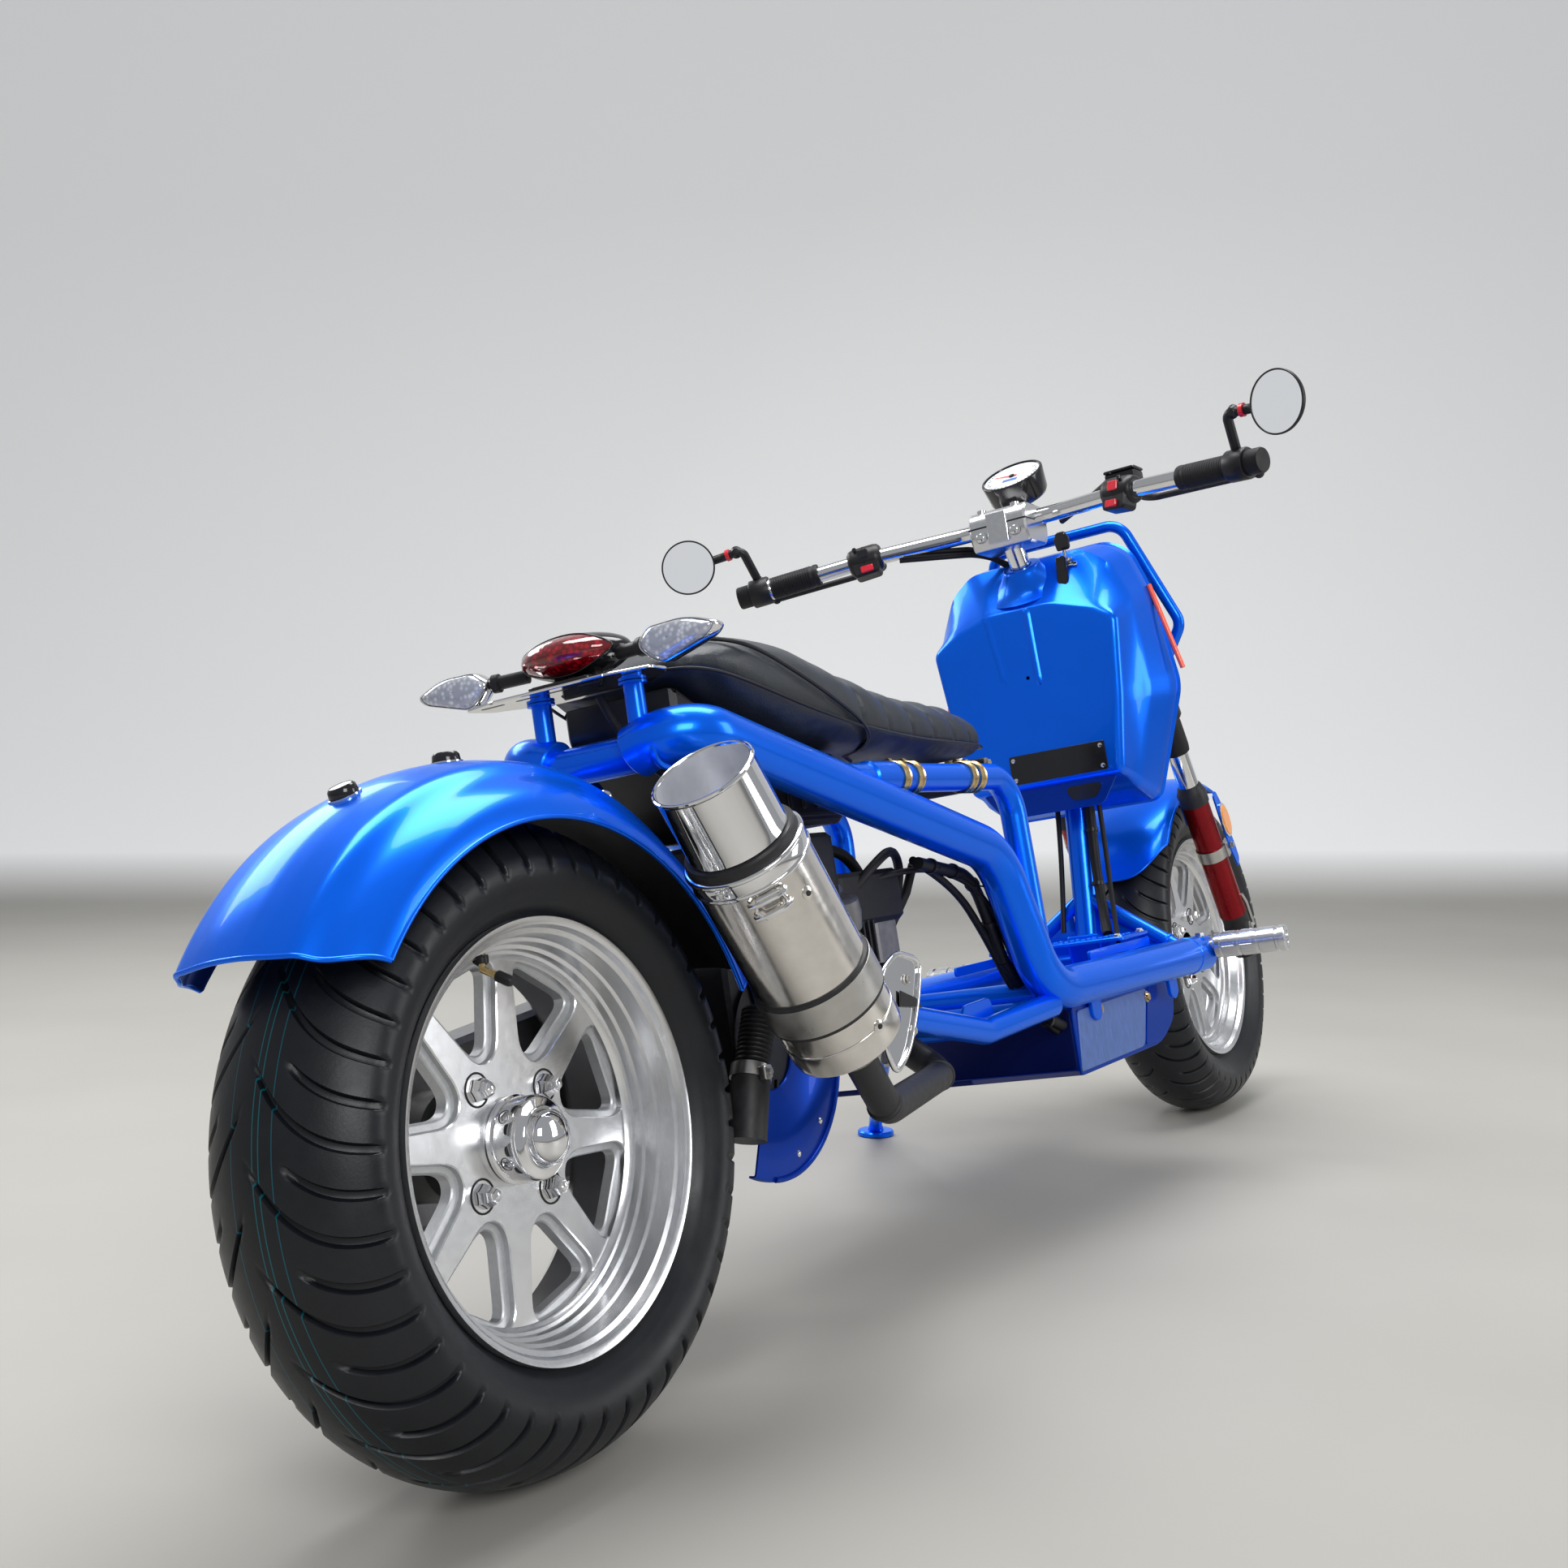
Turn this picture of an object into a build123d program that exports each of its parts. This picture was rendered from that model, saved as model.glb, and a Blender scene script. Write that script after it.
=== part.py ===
from build123d import *
import math
import os

# Motor scooter with an open tube frame, drawn upright in millimetres: X forward, Y left, Z up,
# the rear axle above the origin and the ground at z = 0. park() leans it onto its side stand.

# Size and stance
WHEELBASE = 1600.0
LEAN = 10.0
RAKE = 28.2
ORIGIN_X, ORIGIN_Y = 797.5, 156.0

# Wheels: tyre radius, half width, crown radius, rim lip radius and half width
REAR = dict(radius=250.0, half=78.5, crown=88.0, lip=166.0, lip_y=62.0)
FRONT = dict(radius=245.0, half=61.0, crown=70.0, lip=166.0, lip_y=44.0)

# Frame tubes
MAIN_R, RAIL_R = 24.0, 15.0

# Fork
FORK_Y, LEG_R, STANCHION_R, OFFSET = 97.0, 20.0, 15.0, 74.0


def lift(lean, front, rear):
    """Height of the front axle at which both leaning tyres touch one ground."""
    return front["radius"] + (front["crown"] - rear["crown"]) * (1 / math.cos(math.radians(lean)) - 1)


REAR_AXLE = Vector(0, 0, REAR["radius"])
FRONT_AXLE = Vector(WHEELBASE, 0, lift(LEAN, FRONT, REAR))
UP_FORK = Vector(-math.sin(math.radians(RAKE)), 0, math.cos(math.radians(RAKE)))
FORWARD_FORK = Vector(math.cos(math.radians(RAKE)), 0, math.sin(math.radians(RAKE)))
GROUND_DROP = REAR["crown"] * (math.cos(math.radians(LEAN)) - 1)


def park(shape):
    """Lean the upright shape to the left about the ground line and move it to the row's origin."""
    leaned = Rotation(-LEAN, 0, 0) * shape
    return Pos(-ORIGIN_X, -ORIGIN_Y, -GROUND_DROP) * leaned


def fork_point(along, y=0.0, ahead=0.0):
    """A point on the fork: mm up the leg from the axle, and mm ahead of the leg line."""
    return FRONT_AXLE + UP_FORK * along + FORWARD_FORK * ahead + Vector(0, y, 0)


def tube(points, radius, radii=None, bore=0.0):
    """A round tube along straight runs joined by arcs."""
    pts = [Vector(*p) if not isinstance(p, Vector) else p for p in points]
    if len(pts) > 2:
        path = FilletPolyline(*pts, radius=radii)
    else:
        path = Line(*pts)
    plane = Plane(origin=path @ 0, z_dir=path % 0)
    solid = sweep(plane * Circle(radius), path=path)
    if bore:
        solid -= sweep(plane * Circle(bore), path=path)
    return solid


def rod(a, b, radius, bore=0.0):
    """A straight round bar from a to b."""
    a, b = Vector(*a), Vector(*b)
    plane = Plane(origin=a, z_dir=b - a)
    shape = extrude(plane * Circle(radius), (b - a).length)
    if bore:
        shape -= extrude(plane * Circle(bore), (b - a).length)
    return shape


def block(x0, x1, y0, y1, z0, z1, radius=0.0):
    """A box by its limits, with rounded edges."""
    shape = Pos((x0 + x1) / 2, (y0 + y1) / 2, (z0 + z1) / 2) * Box(x1 - x0, y1 - y0, z1 - z0)
    return fillet(shape.edges(), radius) if radius else shape


def plate(outline, y, thick):
    """A flat plate in the X-Z plane, from y to y + thick."""
    face = Plane(origin=(0, y, 0), x_dir=(1, 0, 0), z_dir=(0, -1, 0)) * make_face(Polyline(*outline, close=True))
    return extrude(face, -thick)


def turned(profile, centre):
    """A solid of revolution about the lateral line through centre; profile holds (y, radius) pairs."""
    face = make_face(Polyline(*[(y, r) for y, r in profile], close=True))
    lying = Plane(origin=(0, 0, 0), x_dir=(0, 1, 0), z_dir=(1, 0, 0)) * face
    return Pos(*centre) * revolve(lying, Axis((0, 0, 0), (0, 1, 0)))


def mirror_y(shape):
    return mirror(shape, about=Plane.XZ)


def tyre(size, centre):
    """A closed tyre: round crown, flat side walls, open toward the rim."""
    R, h, c, lip, lip_y = (size[k] for k in ("radius", "half", "crown", "lip", "lip_y"))
    bead = lip - 8
    shoulder = R - c + math.sqrt(max(c * c - (h * 0.93) ** 2, 0))
    with BuildSketch(Plane(origin=(0, 0, 0), x_dir=(0, 1, 0), z_dir=(1, 0, 0))) as section:
        with BuildLine():
            ThreePointArc((-h * 0.93, shoulder), (0, R), (h * 0.93, shoulder))
            ThreePointArc((h * 0.93, shoulder), (h, shoulder - 22), (lip_y - 7, lip + 1))
            Polyline((lip_y - 7, lip + 1), (lip_y - 7, bead), (-lip_y + 7, bead), (-lip_y + 7, lip + 1))
            ThreePointArc((-lip_y + 7, lip + 1), (-h, shoulder - 22), (-h * 0.93, shoulder))
        make_face()
    return Pos(*centre) * revolve(section.sketch, Axis((0, 0, 0), (0, 1, 0)))


def rim(size, centre, face_y, thick):
    """A rim with a stepped lip and a disc with eight windows between its eight spokes."""
    lip, w = size["lip"], size["lip_y"]
    step = 140
    section = [(-w, lip), (-w + 6, lip), (-w + 7, lip - 8.2), (w - 7, lip - 8.2), (w - 6, lip), (w, lip),
               (w, lip - 8), (w - 14, lip - 17), (face_y + thick + 6, step + 4), (face_y + thick, step - 6),
               (face_y, step - 6), (face_y - 4, step), (-w + 14, lip - 15), (-w, lip - 8)]
    body = turned(section, (0, 0, 0))
    body += turned([(face_y, 0), (face_y, step - 2), (face_y + thick, step - 2), (face_y + thick, 0)], (0, 0, 0))
    cutter = turned([(face_y - 10, 0), (face_y - 10, 28), (face_y + 40, 28), (face_y + 40, 0)], (0, 0, 0))
    across = Plane(origin=(0, face_y - 10, 0), x_dir=(1, 0, 0), z_dir=(0, 1, 0))
    window = fillet(Polygon((72, 8.5), (72, -8.5), (130, -36), (130, 36), align=None).vertices(), 8)
    for k in range(8):
        cutter += extrude(across * Rot(0, 0, 22.5 + 45 * k) * window, 50)
    for k in range(4):
        cutter += extrude(across * Rot(0, 0, 45 + 90 * k) * (Pos(55, 0) * Circle(6.5)), 50)
    return Pos(*centre) * (body - cutter)


nodes = {}

# Frame
main_right = [(122, -95, 536), (229, -97, 551), (720, -116, 421), (790, -121, 259), (1262, -143, 254)]
nodes["frame_right"] = tube(main_right, MAIN_R, [110, 80, 80])
nodes["frame_left"] = mirror_y(nodes["frame_right"])

rail = tube([(400, -106, 508), (796, -112, 504), (792, -118, 285)], RAIL_R, [45])
nodes["seat_rail_right"] = rail - nodes["frame_right"]
nodes["seat_rail_right"] = nodes["seat_rail_right"].solids().sort_by(SortBy.VOLUME)[-1]
nodes["seat_rail_left"] = mirror_y(nodes["seat_rail_right"])

bridge = rod((188, -96, 543), (188, 96, 543), 17)
posts = rod((188, -51, 545), (188, -51, 604.5), 9) + rod((188, 51, 545), (188, 51, 604.5), 9)
nodes["rear_bridge"] = bridge + posts - nodes["frame_right"] - nodes["frame_left"]

AXIS_LOW, AXIS_HIGH = 455, 650
head = rod(fork_point(AXIS_LOW, 0, -OFFSET), fork_point(AXIS_HIGH, 0, -OFFSET), 26, 18)
down = tube([fork_point(500, 0, -OFFSET - 10), (1276, 0, 492), (1238, 0, 290)], 18, [90])
cross = rod((1238, -130, 262), (1238, 130, 262), 14)
brace = rod((1240, -120, 268), (1246, 0, 352), 10) + rod((1240, 120, 268), (1246, 0, 352), 10)
foot_block = block(1214, 1262, -24, 24, 252, 300, 4)
inner = rod(fork_point(430, 0, -OFFSET), fork_point(AXIS_HIGH + 10, 0, -OFFSET), 18)
nodes["head_frame"] = (head + down + cross + brace + foot_block) - inner - nodes["frame_right"] - nodes["frame_left"]

lower = Part()
for side in (-1, 1):
    lower += tube([(796, side * 121, 244), (640, side * 110, 236), (476, side * 108, 271)], 14, [60])
for x, z in ((600, 245), (770, 242)):
    lower += rod((x, -112, z), (x, 112, z), 11)
lower += rod((800, -118, 258), (800, 118, 258), 14)
nodes["lower_frame"] = lower - nodes["frame_right"] - nodes["frame_left"]

floor = plate([(887, 151), (1168, 151), (1226, 176), (1243, 233), (887, 233)], -108, 216)
tray = plate([(606, 186), (887, 152), (887, 158), (606, 192)], -104, 208)
nodes["floor_box"] = floor + tray
nodes["deck"] = block(1110, 1212, -96, 96, 290, 297, 2)

# Cover in front of the rider
shield = loft([Plane(origin=(1172, 0, 0), x_dir=(0, 1, 0), z_dir=(1, 0, 0)) * make_face(Polyline(
    (-70, 808), (70, 808), (105, 780), (138, 717), (126, 610), (111, 506),
    (-111, 506), (-126, 610), (-138, 717), (-105, 780), close=True)),
    Plane(origin=(1300, 0, 0), x_dir=(0, 1, 0), z_dir=(1, 0, 0)) * make_face(Polyline(
        (-100, 836), (100, 836), (132, 815), (151, 757), (171, 617), (116, 464),
        (-116, 464), (-171, 617), (-151, 757), (-132, 815), close=True))], ruled=True)
hole = rod(fork_point(350, 0, -OFFSET), fork_point(720, 0, -OFFSET), 34)
nodes["leg_shield"] = shield - hole - rod(fork_point(500, 0, -OFFSET - 10), (1270, 0, 440), 30)
nodes["leg_shield"] = nodes["leg_shield"].solids().sort_by(SortBy.VOLUME)[-1]
nodes["shield_collar"] = Pos(*fork_point(668, 0, -OFFSET)) * Rot(0, -RAKE, 0) * (
    Cone(46, 24, 34) - Cylinder(15, 60))
nodes["leg_shield"] -= nodes["shield_collar"]

lamps = rod((1305, -78, 735), (1392, -78, 735), 46) + rod((1305, 78, 735), (1392, 78, 735), 46)
lamps += rod((1355, -78, 735), (1355, 78, 735), 8)
nodes["headlamps"] = lamps
guard = tube([(1400, -112, 645), (1402, -168, 708), (1372, -102, 868), (1372, 102, 868), (1402, 168, 708),
              (1400, 112, 645)], 8, [25, 30, 30, 25])
guard += rod((1296, -60, 650), (1400, -112, 650), 7) + rod((1296, 60, 650), (1400, 112, 650), 7)
nodes["lamp_guard"] = guard - nodes["leg_shield"]

# Seat and tail
# Seat sections: place along X, half width, height at the middle, at the widest and underneath
SEAT = [(215, 76, 628, 618, 611), (250, 98, 645, 622, 604), (300, 108, 652, 620, 580),
        (384, 112, 649, 606, 555), (472, 110, 628, 586, 545), (562, 102, 613, 576, 540),
        (654, 92, 603, 570, 537), (760, 80, 599, 568, 537), (850, 64, 588, 566, 539),
        (900, 44, 574, 560, 543), (920, 22, 564, 557, 548)]
cuts = []
for x, half, top, wide, under in SEAT:
    flank = [(half * 0.55, top - 6), (half * 0.86, (top + wide) / 2), (half, wide), (half * 0.9, under + 5),
             (half * 0.78, under)]
    cuts.append(Plane(origin=(x, 0, 0), x_dir=(0, 1, 0), z_dir=(1, 0, 0)) * make_face(Polyline(
        (0, top), *flank, *[(-y, z) for y, z in reversed(flank)], close=True)))
nodes["seat"] = loft(cuts, ruled=True)
nodes["seat_box"] = plate([(230, 566), (230, 600), (262, 588), (312, 567), (352, 557), (409, 547), (504, 539),
                           (504, 470), (330, 470)], -62, 124)
hinge = rod((905, -40, 532), (905, 40, 532), 7) + rod((800, -112, 504), (800, 112, 504), 9)
hinge += plate([(796, 498), (905, 526), (905, 538), (796, 512)], -20, 40)
nodes["seat_hinge"] = hinge - nodes["seat_rail_right"] - nodes["seat_rail_left"]
nodes["plate_bracket"] = block(134, 214, -102, 102, 605, 608)
across = Plane(origin=(0, 0, 0), x_dir=(0, 1, 0), z_dir=(1, 0, 0))
lens = extrude(Plane(origin=(140, 0, 636), x_dir=(0, 1, 0), z_dir=(1, 0, 0)) * Ellipse(50, 18), 56)
nodes["tail_lamp"] = lens + rod((180, -20, 610), (180, -20, 622), 5)
LEAF = [(84, 631), (96, 641), (136, 642), (166, 631), (158, 622), (106, 608), (96, 612), (84, 624)]
for side_name, s in (("right", -1), ("left", 1)):
    stem = rod((176, s * 51, 629), (166, s * 88, 628), 6)
    leaf = extrude(across * make_face(Polyline(*[(s * y, z) for y, z in LEAF], close=True)), 28)
    nodes["signal_" + side_name] = Pos(150, 0, 0) * leaf + stem - nodes["tail_lamp"]

profile = [(0, 293), (32, 291), (60, 282), (78, 268), (90, 250), (94, 236), (90, 236), (86, 249), (75, 265),
           (58, 278), (31, 287), (0, 289)]
with BuildSketch(Plane(origin=(0, 0, 0), x_dir=(0, 1, 0), z_dir=(1, 0, 0))) as fender_section:
    with BuildLine():
        Polyline(*profile, *[(-y, r) for y, r in profile[-2:0:-1]], close=True)
    make_face()
fender = revolve(fender_section.sketch, Axis((0, 0, 0), (0, 1, 0)), 126)
fender = Pos(*REAR_AXLE) * Rot(0, -56, 0) * fender
nodes["rear_fender"] = fender - block(200, 420, -86, 120, 150, 470)

# Engine, drive and exhaust
CRANK = (328.0, 272.0)
nodes["engine"] = block(285, 440, -34, 88, 190, 366, 16)
nodes["cylinder"] = block(441, 596, -58, 58, 262, 382, 12)
ring = rod((CRANK[0], -44, CRANK[1]), (CRANK[0], -34.5, CRANK[1]), 122, 84)
nodes["fan_guard"] = ring - rod((0, -60, 250), (0, -20, 250), 262) - block(440, 600, -60, 60, 200, 400)
nodes["fan_guard"] = nodes["fan_guard"].solids().sort_by(SortBy.VOLUME)[-1]
case = rod((CRANK[0], 92, CRANK[1]), (CRANK[0], 150, CRANK[1]), 86)
case += rod((0, 92, 250), (0, 150, 250), 68) + block(0, CRANK[0], 92, 150, 200, 320)
nodes["drive_case"] = case
nodes["intake_boot"] = tube([(292, -62, 307), (262, -62, 252), (242, -62, 200)], 16, [30])
low, high = Vector(268, -162, 276), Vector(106, -162, 507)
aim = (high - low).normalized()
nodes["muffler"] = rod(low, low + aim * 200, 52) + rod(low + aim * 200, high, 43) - rod(
    high - aim * 60, high + aim, 40)
nodes["header_pipe"] = tube([low - aim * 0.6, (352, -142, 203), (560, -95, 206), (566, -40, 246)],
                            15, [34, 30]) - nodes["muffler"]
nodes["hanger_shield"] = plate([(316, 250), (352, 332), (400, 320), (380, 266)], -170, 4)
nodes["shock"] = rod((8, 176, 345), (128, 152, 528), 22)

# Pegs and side stand
PEG = ((1255, 168, 262), (1261, 262, 261))
for side_name, s in (("right", -1), ("left", 1)):
    nodes["peg_" + side_name] = rod(*[(x, s * y, z) for x, y, z in PEG], 17)

STAND = Vector(880, 146, 208)
STAND_AXIS = Vector(0.1474, 0.311, 0.6765).normalized()
FOOT_X, FOOT_Y, FOOT_THICK = 1168.0, 340.0, 8.0
FOOT_Z = ((FOOT_THICK / 2 + GROUND_DROP + FOOT_Y * math.sin(math.radians(LEAN)))
          / math.cos(math.radians(LEAN)))
FOOT = Vector(FOOT_X, FOOT_Y, FOOT_Z)
leg = rod(STAND, FOOT + Vector(0, 0, 6), 10) + rod(STAND - STAND_AXIS * 12, STAND + STAND_AXIS * 12, 15)
foot = Pos(*FOOT) * Rot(LEAN, 0, 0) * Cylinder(26, FOOT_THICK)
nodes["side_stand"] = leg + foot - rod(STAND - STAND_AXIS * 40, STAND + STAND_AXIS * 40, 6.05)
lug = rod(STAND + STAND_AXIS * 13, STAND + STAND_AXIS * 21, 15) + rod(
    STAND - STAND_AXIS * 21, STAND + STAND_AXIS * 21, 6)
lug += rod(STAND + STAND_AXIS * 19.5, (880, 126, 262), 5.5)
nodes["stand_bracket"] = lug - nodes["frame_left"]

# Wheels
nodes["rear_tyre"] = tyre(REAR, REAR_AXLE)
nodes["rear_rim"] = rim(REAR, REAR_AXLE, -14, 18)
nodes["rear_hub"] = turned([(-58, 0), (-55, 14), (-46, 21), (-42, 21), (-42, 32), (-14.5, 32), (-14.5, 27.9),
                            (91, 27.9), (91, 0)], REAR_AXLE)
nodes["front_tyre"] = tyre(FRONT, FRONT_AXLE)
nodes["front_rim"] = rim(FRONT, FRONT_AXLE, -12, 16)
nodes["front_disc"] = turned([(5, 10), (5, 27.9), (52, 27.9), (52, 95), (57, 95), (57, 10)], FRONT_AXLE)

# Fork and steering
nodes["front_axle"] = rod(FRONT_AXLE + Vector(0, -120, 0), FRONT_AXLE + Vector(0, 120, 0), 7)
for side_name, s in (("right", -1), ("left", 1)):
    leg = rod(fork_point(-20, s * FORK_Y), fork_point(255, s * FORK_Y), LEG_R, 15.0)
    leg -= rod(FRONT_AXLE + Vector(0, -140, 0), FRONT_AXLE + Vector(0, 140, 0), 7)
    nodes["fork_" + side_name] = leg
crown = Part()
for s in (-1, 1):
    crown += rod(fork_point(60, s * FORK_Y), fork_point(432, s * FORK_Y), STANCHION_R - 0.1)
crown += rod(fork_point(415, -FORK_Y, 0), fork_point(415, FORK_Y, 0), 19)
crown += rod(fork_point(415, 0, 0), fork_point(415, 0, -OFFSET - 20), 17)
crown += rod(fork_point(405, 0, -OFFSET), fork_point(735, 0, -OFFSET), 14)
nodes["fork_crown"] = crown

BAR = [(1088, -378, 844), (1150, -190, 864), (1192, -70, 870), (1192, 70, 870), (1150, 190, 864),
       (1088, 378, 844)]
bar = tube(BAR, 11, [120, 60, 60, 120])
riser = block(1150, 1226, -38, 38, 842, 888, 5)
nodes["handlebar"] = bar + riser - rod(fork_point(415, 0, -OFFSET), fork_point(735.5, 0, -OFFSET), 14)

for side_name, s in {"right": -1, "left": 1}.items():
    outer = Vector(1088, s * 378, 844)
    inner_ = Vector(1150, s * 190, 864)
    along = (outer - inner_).normalized()
    grip = rod(inner_ + along * 82, outer + along * 4, 16)
    nodes["grip_" + side_name] = grip - nodes["handlebar"]
    shift = {"right": -36, "left": -11}[side_name]
    pod = rod(inner_ + along * shift, inner_ + along * (shift + 48), 20)
    lever = tube([inner_ + Vector(8, 0, -2), inner_ + along * 12 + Vector(55, 0, -6),
                  outer + Vector(62, -s * 20, -2)], 5, [15])
    nodes["switch_" + side_name] = pod + lever - nodes["handlebar"]
    head_at = Vector(1031, s * 424, 894)
    foot_at = Vector(1097, s * 350, 858)
    arm = tube([foot_at, (1064, s * 354, 906), (1054, s * 386, 901), (1036, s * 408, 896)], 7, [10, 10])
    arm += rod(foot_at - along * 14 - Vector(0, 0, 11), foot_at + along * 14 - Vector(0, 0, 11), 20)
    face_dir = Vector(-1, s * 0.12, 0.10).normalized()
    dish = rod(head_at - face_dir * 12, head_at + face_dir * 3, 37)
    nodes["mirror_" + side_name] = arm + dish - nodes["handlebar"] - rod(
        inner_, outer + along * 20, 16.01)

gauge_at = Vector(1238, 0, 955)
gauge_dir = Vector(-0.55, 0, 0.83).normalized()
gauge = rod(gauge_at - gauge_dir * 34, gauge_at, 40)
gauge += rod(gauge_at - gauge_dir * 30, (1218, 0, 880), 8) - nodes["handlebar"]
nodes["gauge"] = gauge - nodes["handlebar"]

fender_profile = [(0, 262), (50, 257), (70, 240), (67, 240), (48, 253), (0, 258)]
with BuildSketch(Plane(origin=(0, 0, 0), x_dir=(0, 1, 0), z_dir=(1, 0, 0))) as front_section:
    with BuildLine():
        Polyline(*fender_profile, *[(-y, r) for y, r in fender_profile[4:2:-1]],
                 *[(-y, r) for y, r in fender_profile[2:0:-1]], close=True)
    make_face()
front = revolve(front_section.sketch, Axis((0, 0, 0), (0, 1, 0)), 84)
nodes["front_fender"] = Pos(*FRONT_AXLE) * Rot(0, -65, 0) * front
caliper = block(-26, 26, 47, 76, -24, 24, 4) - block(-40, 40, 50.5, 58.5, -40, 18)
nodes["brake_caliper"] = Pos(*fork_point(96, 0, -50)) * caliper
cable = tube([(1160, -172, 880), (1216, -124, 886), (1268, -48, 872)], 5, [60])
nodes["control_cables"] = (cable - nodes["switch_right"] - nodes["handlebar"]).solids().sort_by(SortBy.VOLUME)[-1]
nodes["wiring_harness"] = tube([(600, -84, 420), (720, -84, 400), (770, -84, 300)], 7, [60])

os.makedirs("parts", exist_ok=True)
for name, shape in nodes.items():
    parked = park(shape)
    parked.label = name
    export_step(parked, f"parts/{name}.step")
    bounds = parked.bounding_box()
    print(name, len(parked.solids()), round(parked.volume / 1000, 1),
          [round(v) for v in (*bounds.min, *bounds.max)])
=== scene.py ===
# %% [markdown]
# # A motor scooter, dressed for its portrait
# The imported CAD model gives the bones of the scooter: every tube, wheel and hinge at its
# real size and place. This file dresses them. Each piece below is a surface that numpy works
# out, so its shape is a formula that can be read, changed and tried again.

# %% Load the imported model
import bpy
import numpy as np
from math import acos, atan2, cos, hypot, pi, radians, sin, sqrt, tan
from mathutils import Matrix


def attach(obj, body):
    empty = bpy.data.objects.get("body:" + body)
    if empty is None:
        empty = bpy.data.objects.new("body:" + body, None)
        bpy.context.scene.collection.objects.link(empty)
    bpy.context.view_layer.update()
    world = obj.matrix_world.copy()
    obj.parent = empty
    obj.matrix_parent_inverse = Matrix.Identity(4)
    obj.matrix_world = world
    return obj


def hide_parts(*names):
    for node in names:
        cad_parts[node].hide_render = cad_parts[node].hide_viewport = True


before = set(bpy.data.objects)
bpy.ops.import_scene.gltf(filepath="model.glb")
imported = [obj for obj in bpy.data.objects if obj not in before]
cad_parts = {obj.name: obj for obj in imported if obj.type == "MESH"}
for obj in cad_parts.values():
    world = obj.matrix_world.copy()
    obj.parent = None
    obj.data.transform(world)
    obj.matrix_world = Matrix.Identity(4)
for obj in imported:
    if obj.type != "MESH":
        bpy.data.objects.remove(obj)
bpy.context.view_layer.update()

# %% [markdown]
# ## Two frames of reference
# A designer draws a scooter upright, in millimetres, with the rear axle above the origin.
# The finished scooter leans ten degrees on its side stand. Working upright is simpler, so
# every shape here is made upright and leaned at the very end by one small function.

# %% Upright millimetres to the parked scooter
def vec(x, y, z):
    """A point or direction as an array."""
    return np.array([x, y, z], float)


LEAN, RAKE = 10.0, 28.2
ORIGIN_X, ORIGIN_Y = 797.5, 156.0
REAR = dict(radius=250.0, half=78.5, crown=88.0, lip=166.0, lip_y=62.0)
FRONT = dict(radius=245.0, half=61.0, crown=70.0, lip=166.0, lip_y=44.0)
WHEELBASE, FORK_Y, OFFSET = 1600.0, 97.0, 74.0
SIDES = (("right", -1), ("left", 1))
COS, SIN = cos(radians(LEAN)), sin(radians(LEAN))
DROP = REAR["crown"] * (COS - 1)
LIFT = FRONT["radius"] + (FRONT["crown"] - REAR["crown"]) * (1 / COS - 1)
REAR_AXLE, FRONT_AXLE = vec(0, 0, 250), vec(WHEELBASE, 0, LIFT)
UP_FORK = vec(-sin(radians(RAKE)), 0, cos(radians(RAKE)))
AHEAD = vec(cos(radians(RAKE)), 0, sin(radians(RAKE)))


def parked(points):
    """Upright millimetres (..., 3) turned by the lean about the ground line, in metres."""
    p = np.asarray(points, float)
    x, y, z = p[..., 0], p[..., 1], p[..., 2]
    return np.stack([x - ORIGIN_X, y * COS + z * SIN - ORIGIN_Y, z * COS - y * SIN - DROP], -1) / 1000


def fork(along, y=0.0, ahead=0.0):
    """A point so far up the fork from the front axle, to one side, and ahead of its line."""
    return FRONT_AXLE + UP_FORK * along + AHEAD * ahead + vec(0, y, 0)


# %% [markdown]
# ## The camera
# The two rims are circles of a known size, so their outlines in a photograph tell where the
# camera stood: behind the right rear wheel, low, with the horizon level. A 40 mm lens on a
# 36 mm sensor gives the same framing.

# %% Camera
EYE = vec(-1030.3, -917.6, 387.5)
SIGHT = vec(0.8551, 0.5139, 0.0739)
RIGHTWARD = vec(0.5192, -0.8421, -0.1502)
LENS = 2159.9 / 1932 * 36


def turned_axes(v):
    """A direction carried from the upright frame to the parked one."""
    return parked(np.asarray(v) * 1000) - parked(np.zeros(3))


camera_data = bpy.data.cameras.new("portrait_camera")
camera_data.lens, camera_data.sensor_width = LENS, 36
camera_data.clip_start, camera_data.clip_end = 0.05, 60
camera = bpy.data.objects.new("portrait_camera", camera_data)
bpy.context.scene.collection.objects.link(camera)
bpy.context.scene.camera = camera
from mathutils import Matrix, Vector
back = -Vector(turned_axes(SIGHT)).normalized()
side = Vector(turned_axes(RIGHTWARD)).normalized()
upward = back.cross(side)
camera.matrix_world = Matrix.Translation(Vector(parked(EYE))) @ Matrix((side, upward, back)).transposed().to_4x4()
print("camera at", [round(v, 3) for v in camera.location])

# %% [markdown]
# ## Floor, wall and light
# A pale floor that sweeps up into a pale wall has no corner to distract the eye. Chrome only
# looks like chrome when it has bright and dark things to mirror, so the light comes from a
# few large soft panels with darker gaps between them, and the wall itself emits a little
# painted light.

# %% Floor and wall
def mesh_piece(name, points, faces, smooth=True):
    """A mesh object from points in metres and lists of corner numbers."""
    mesh = bpy.data.meshes.new(name)
    mesh.from_pydata([tuple(p) for p in points], [], faces)
    mesh.update()
    mesh.polygons.foreach_set("use_smooth", np.full(len(mesh.polygons), smooth))
    obj = bpy.data.objects.new(name, mesh)
    bpy.context.scene.collection.objects.link(obj)
    return obj


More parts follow.
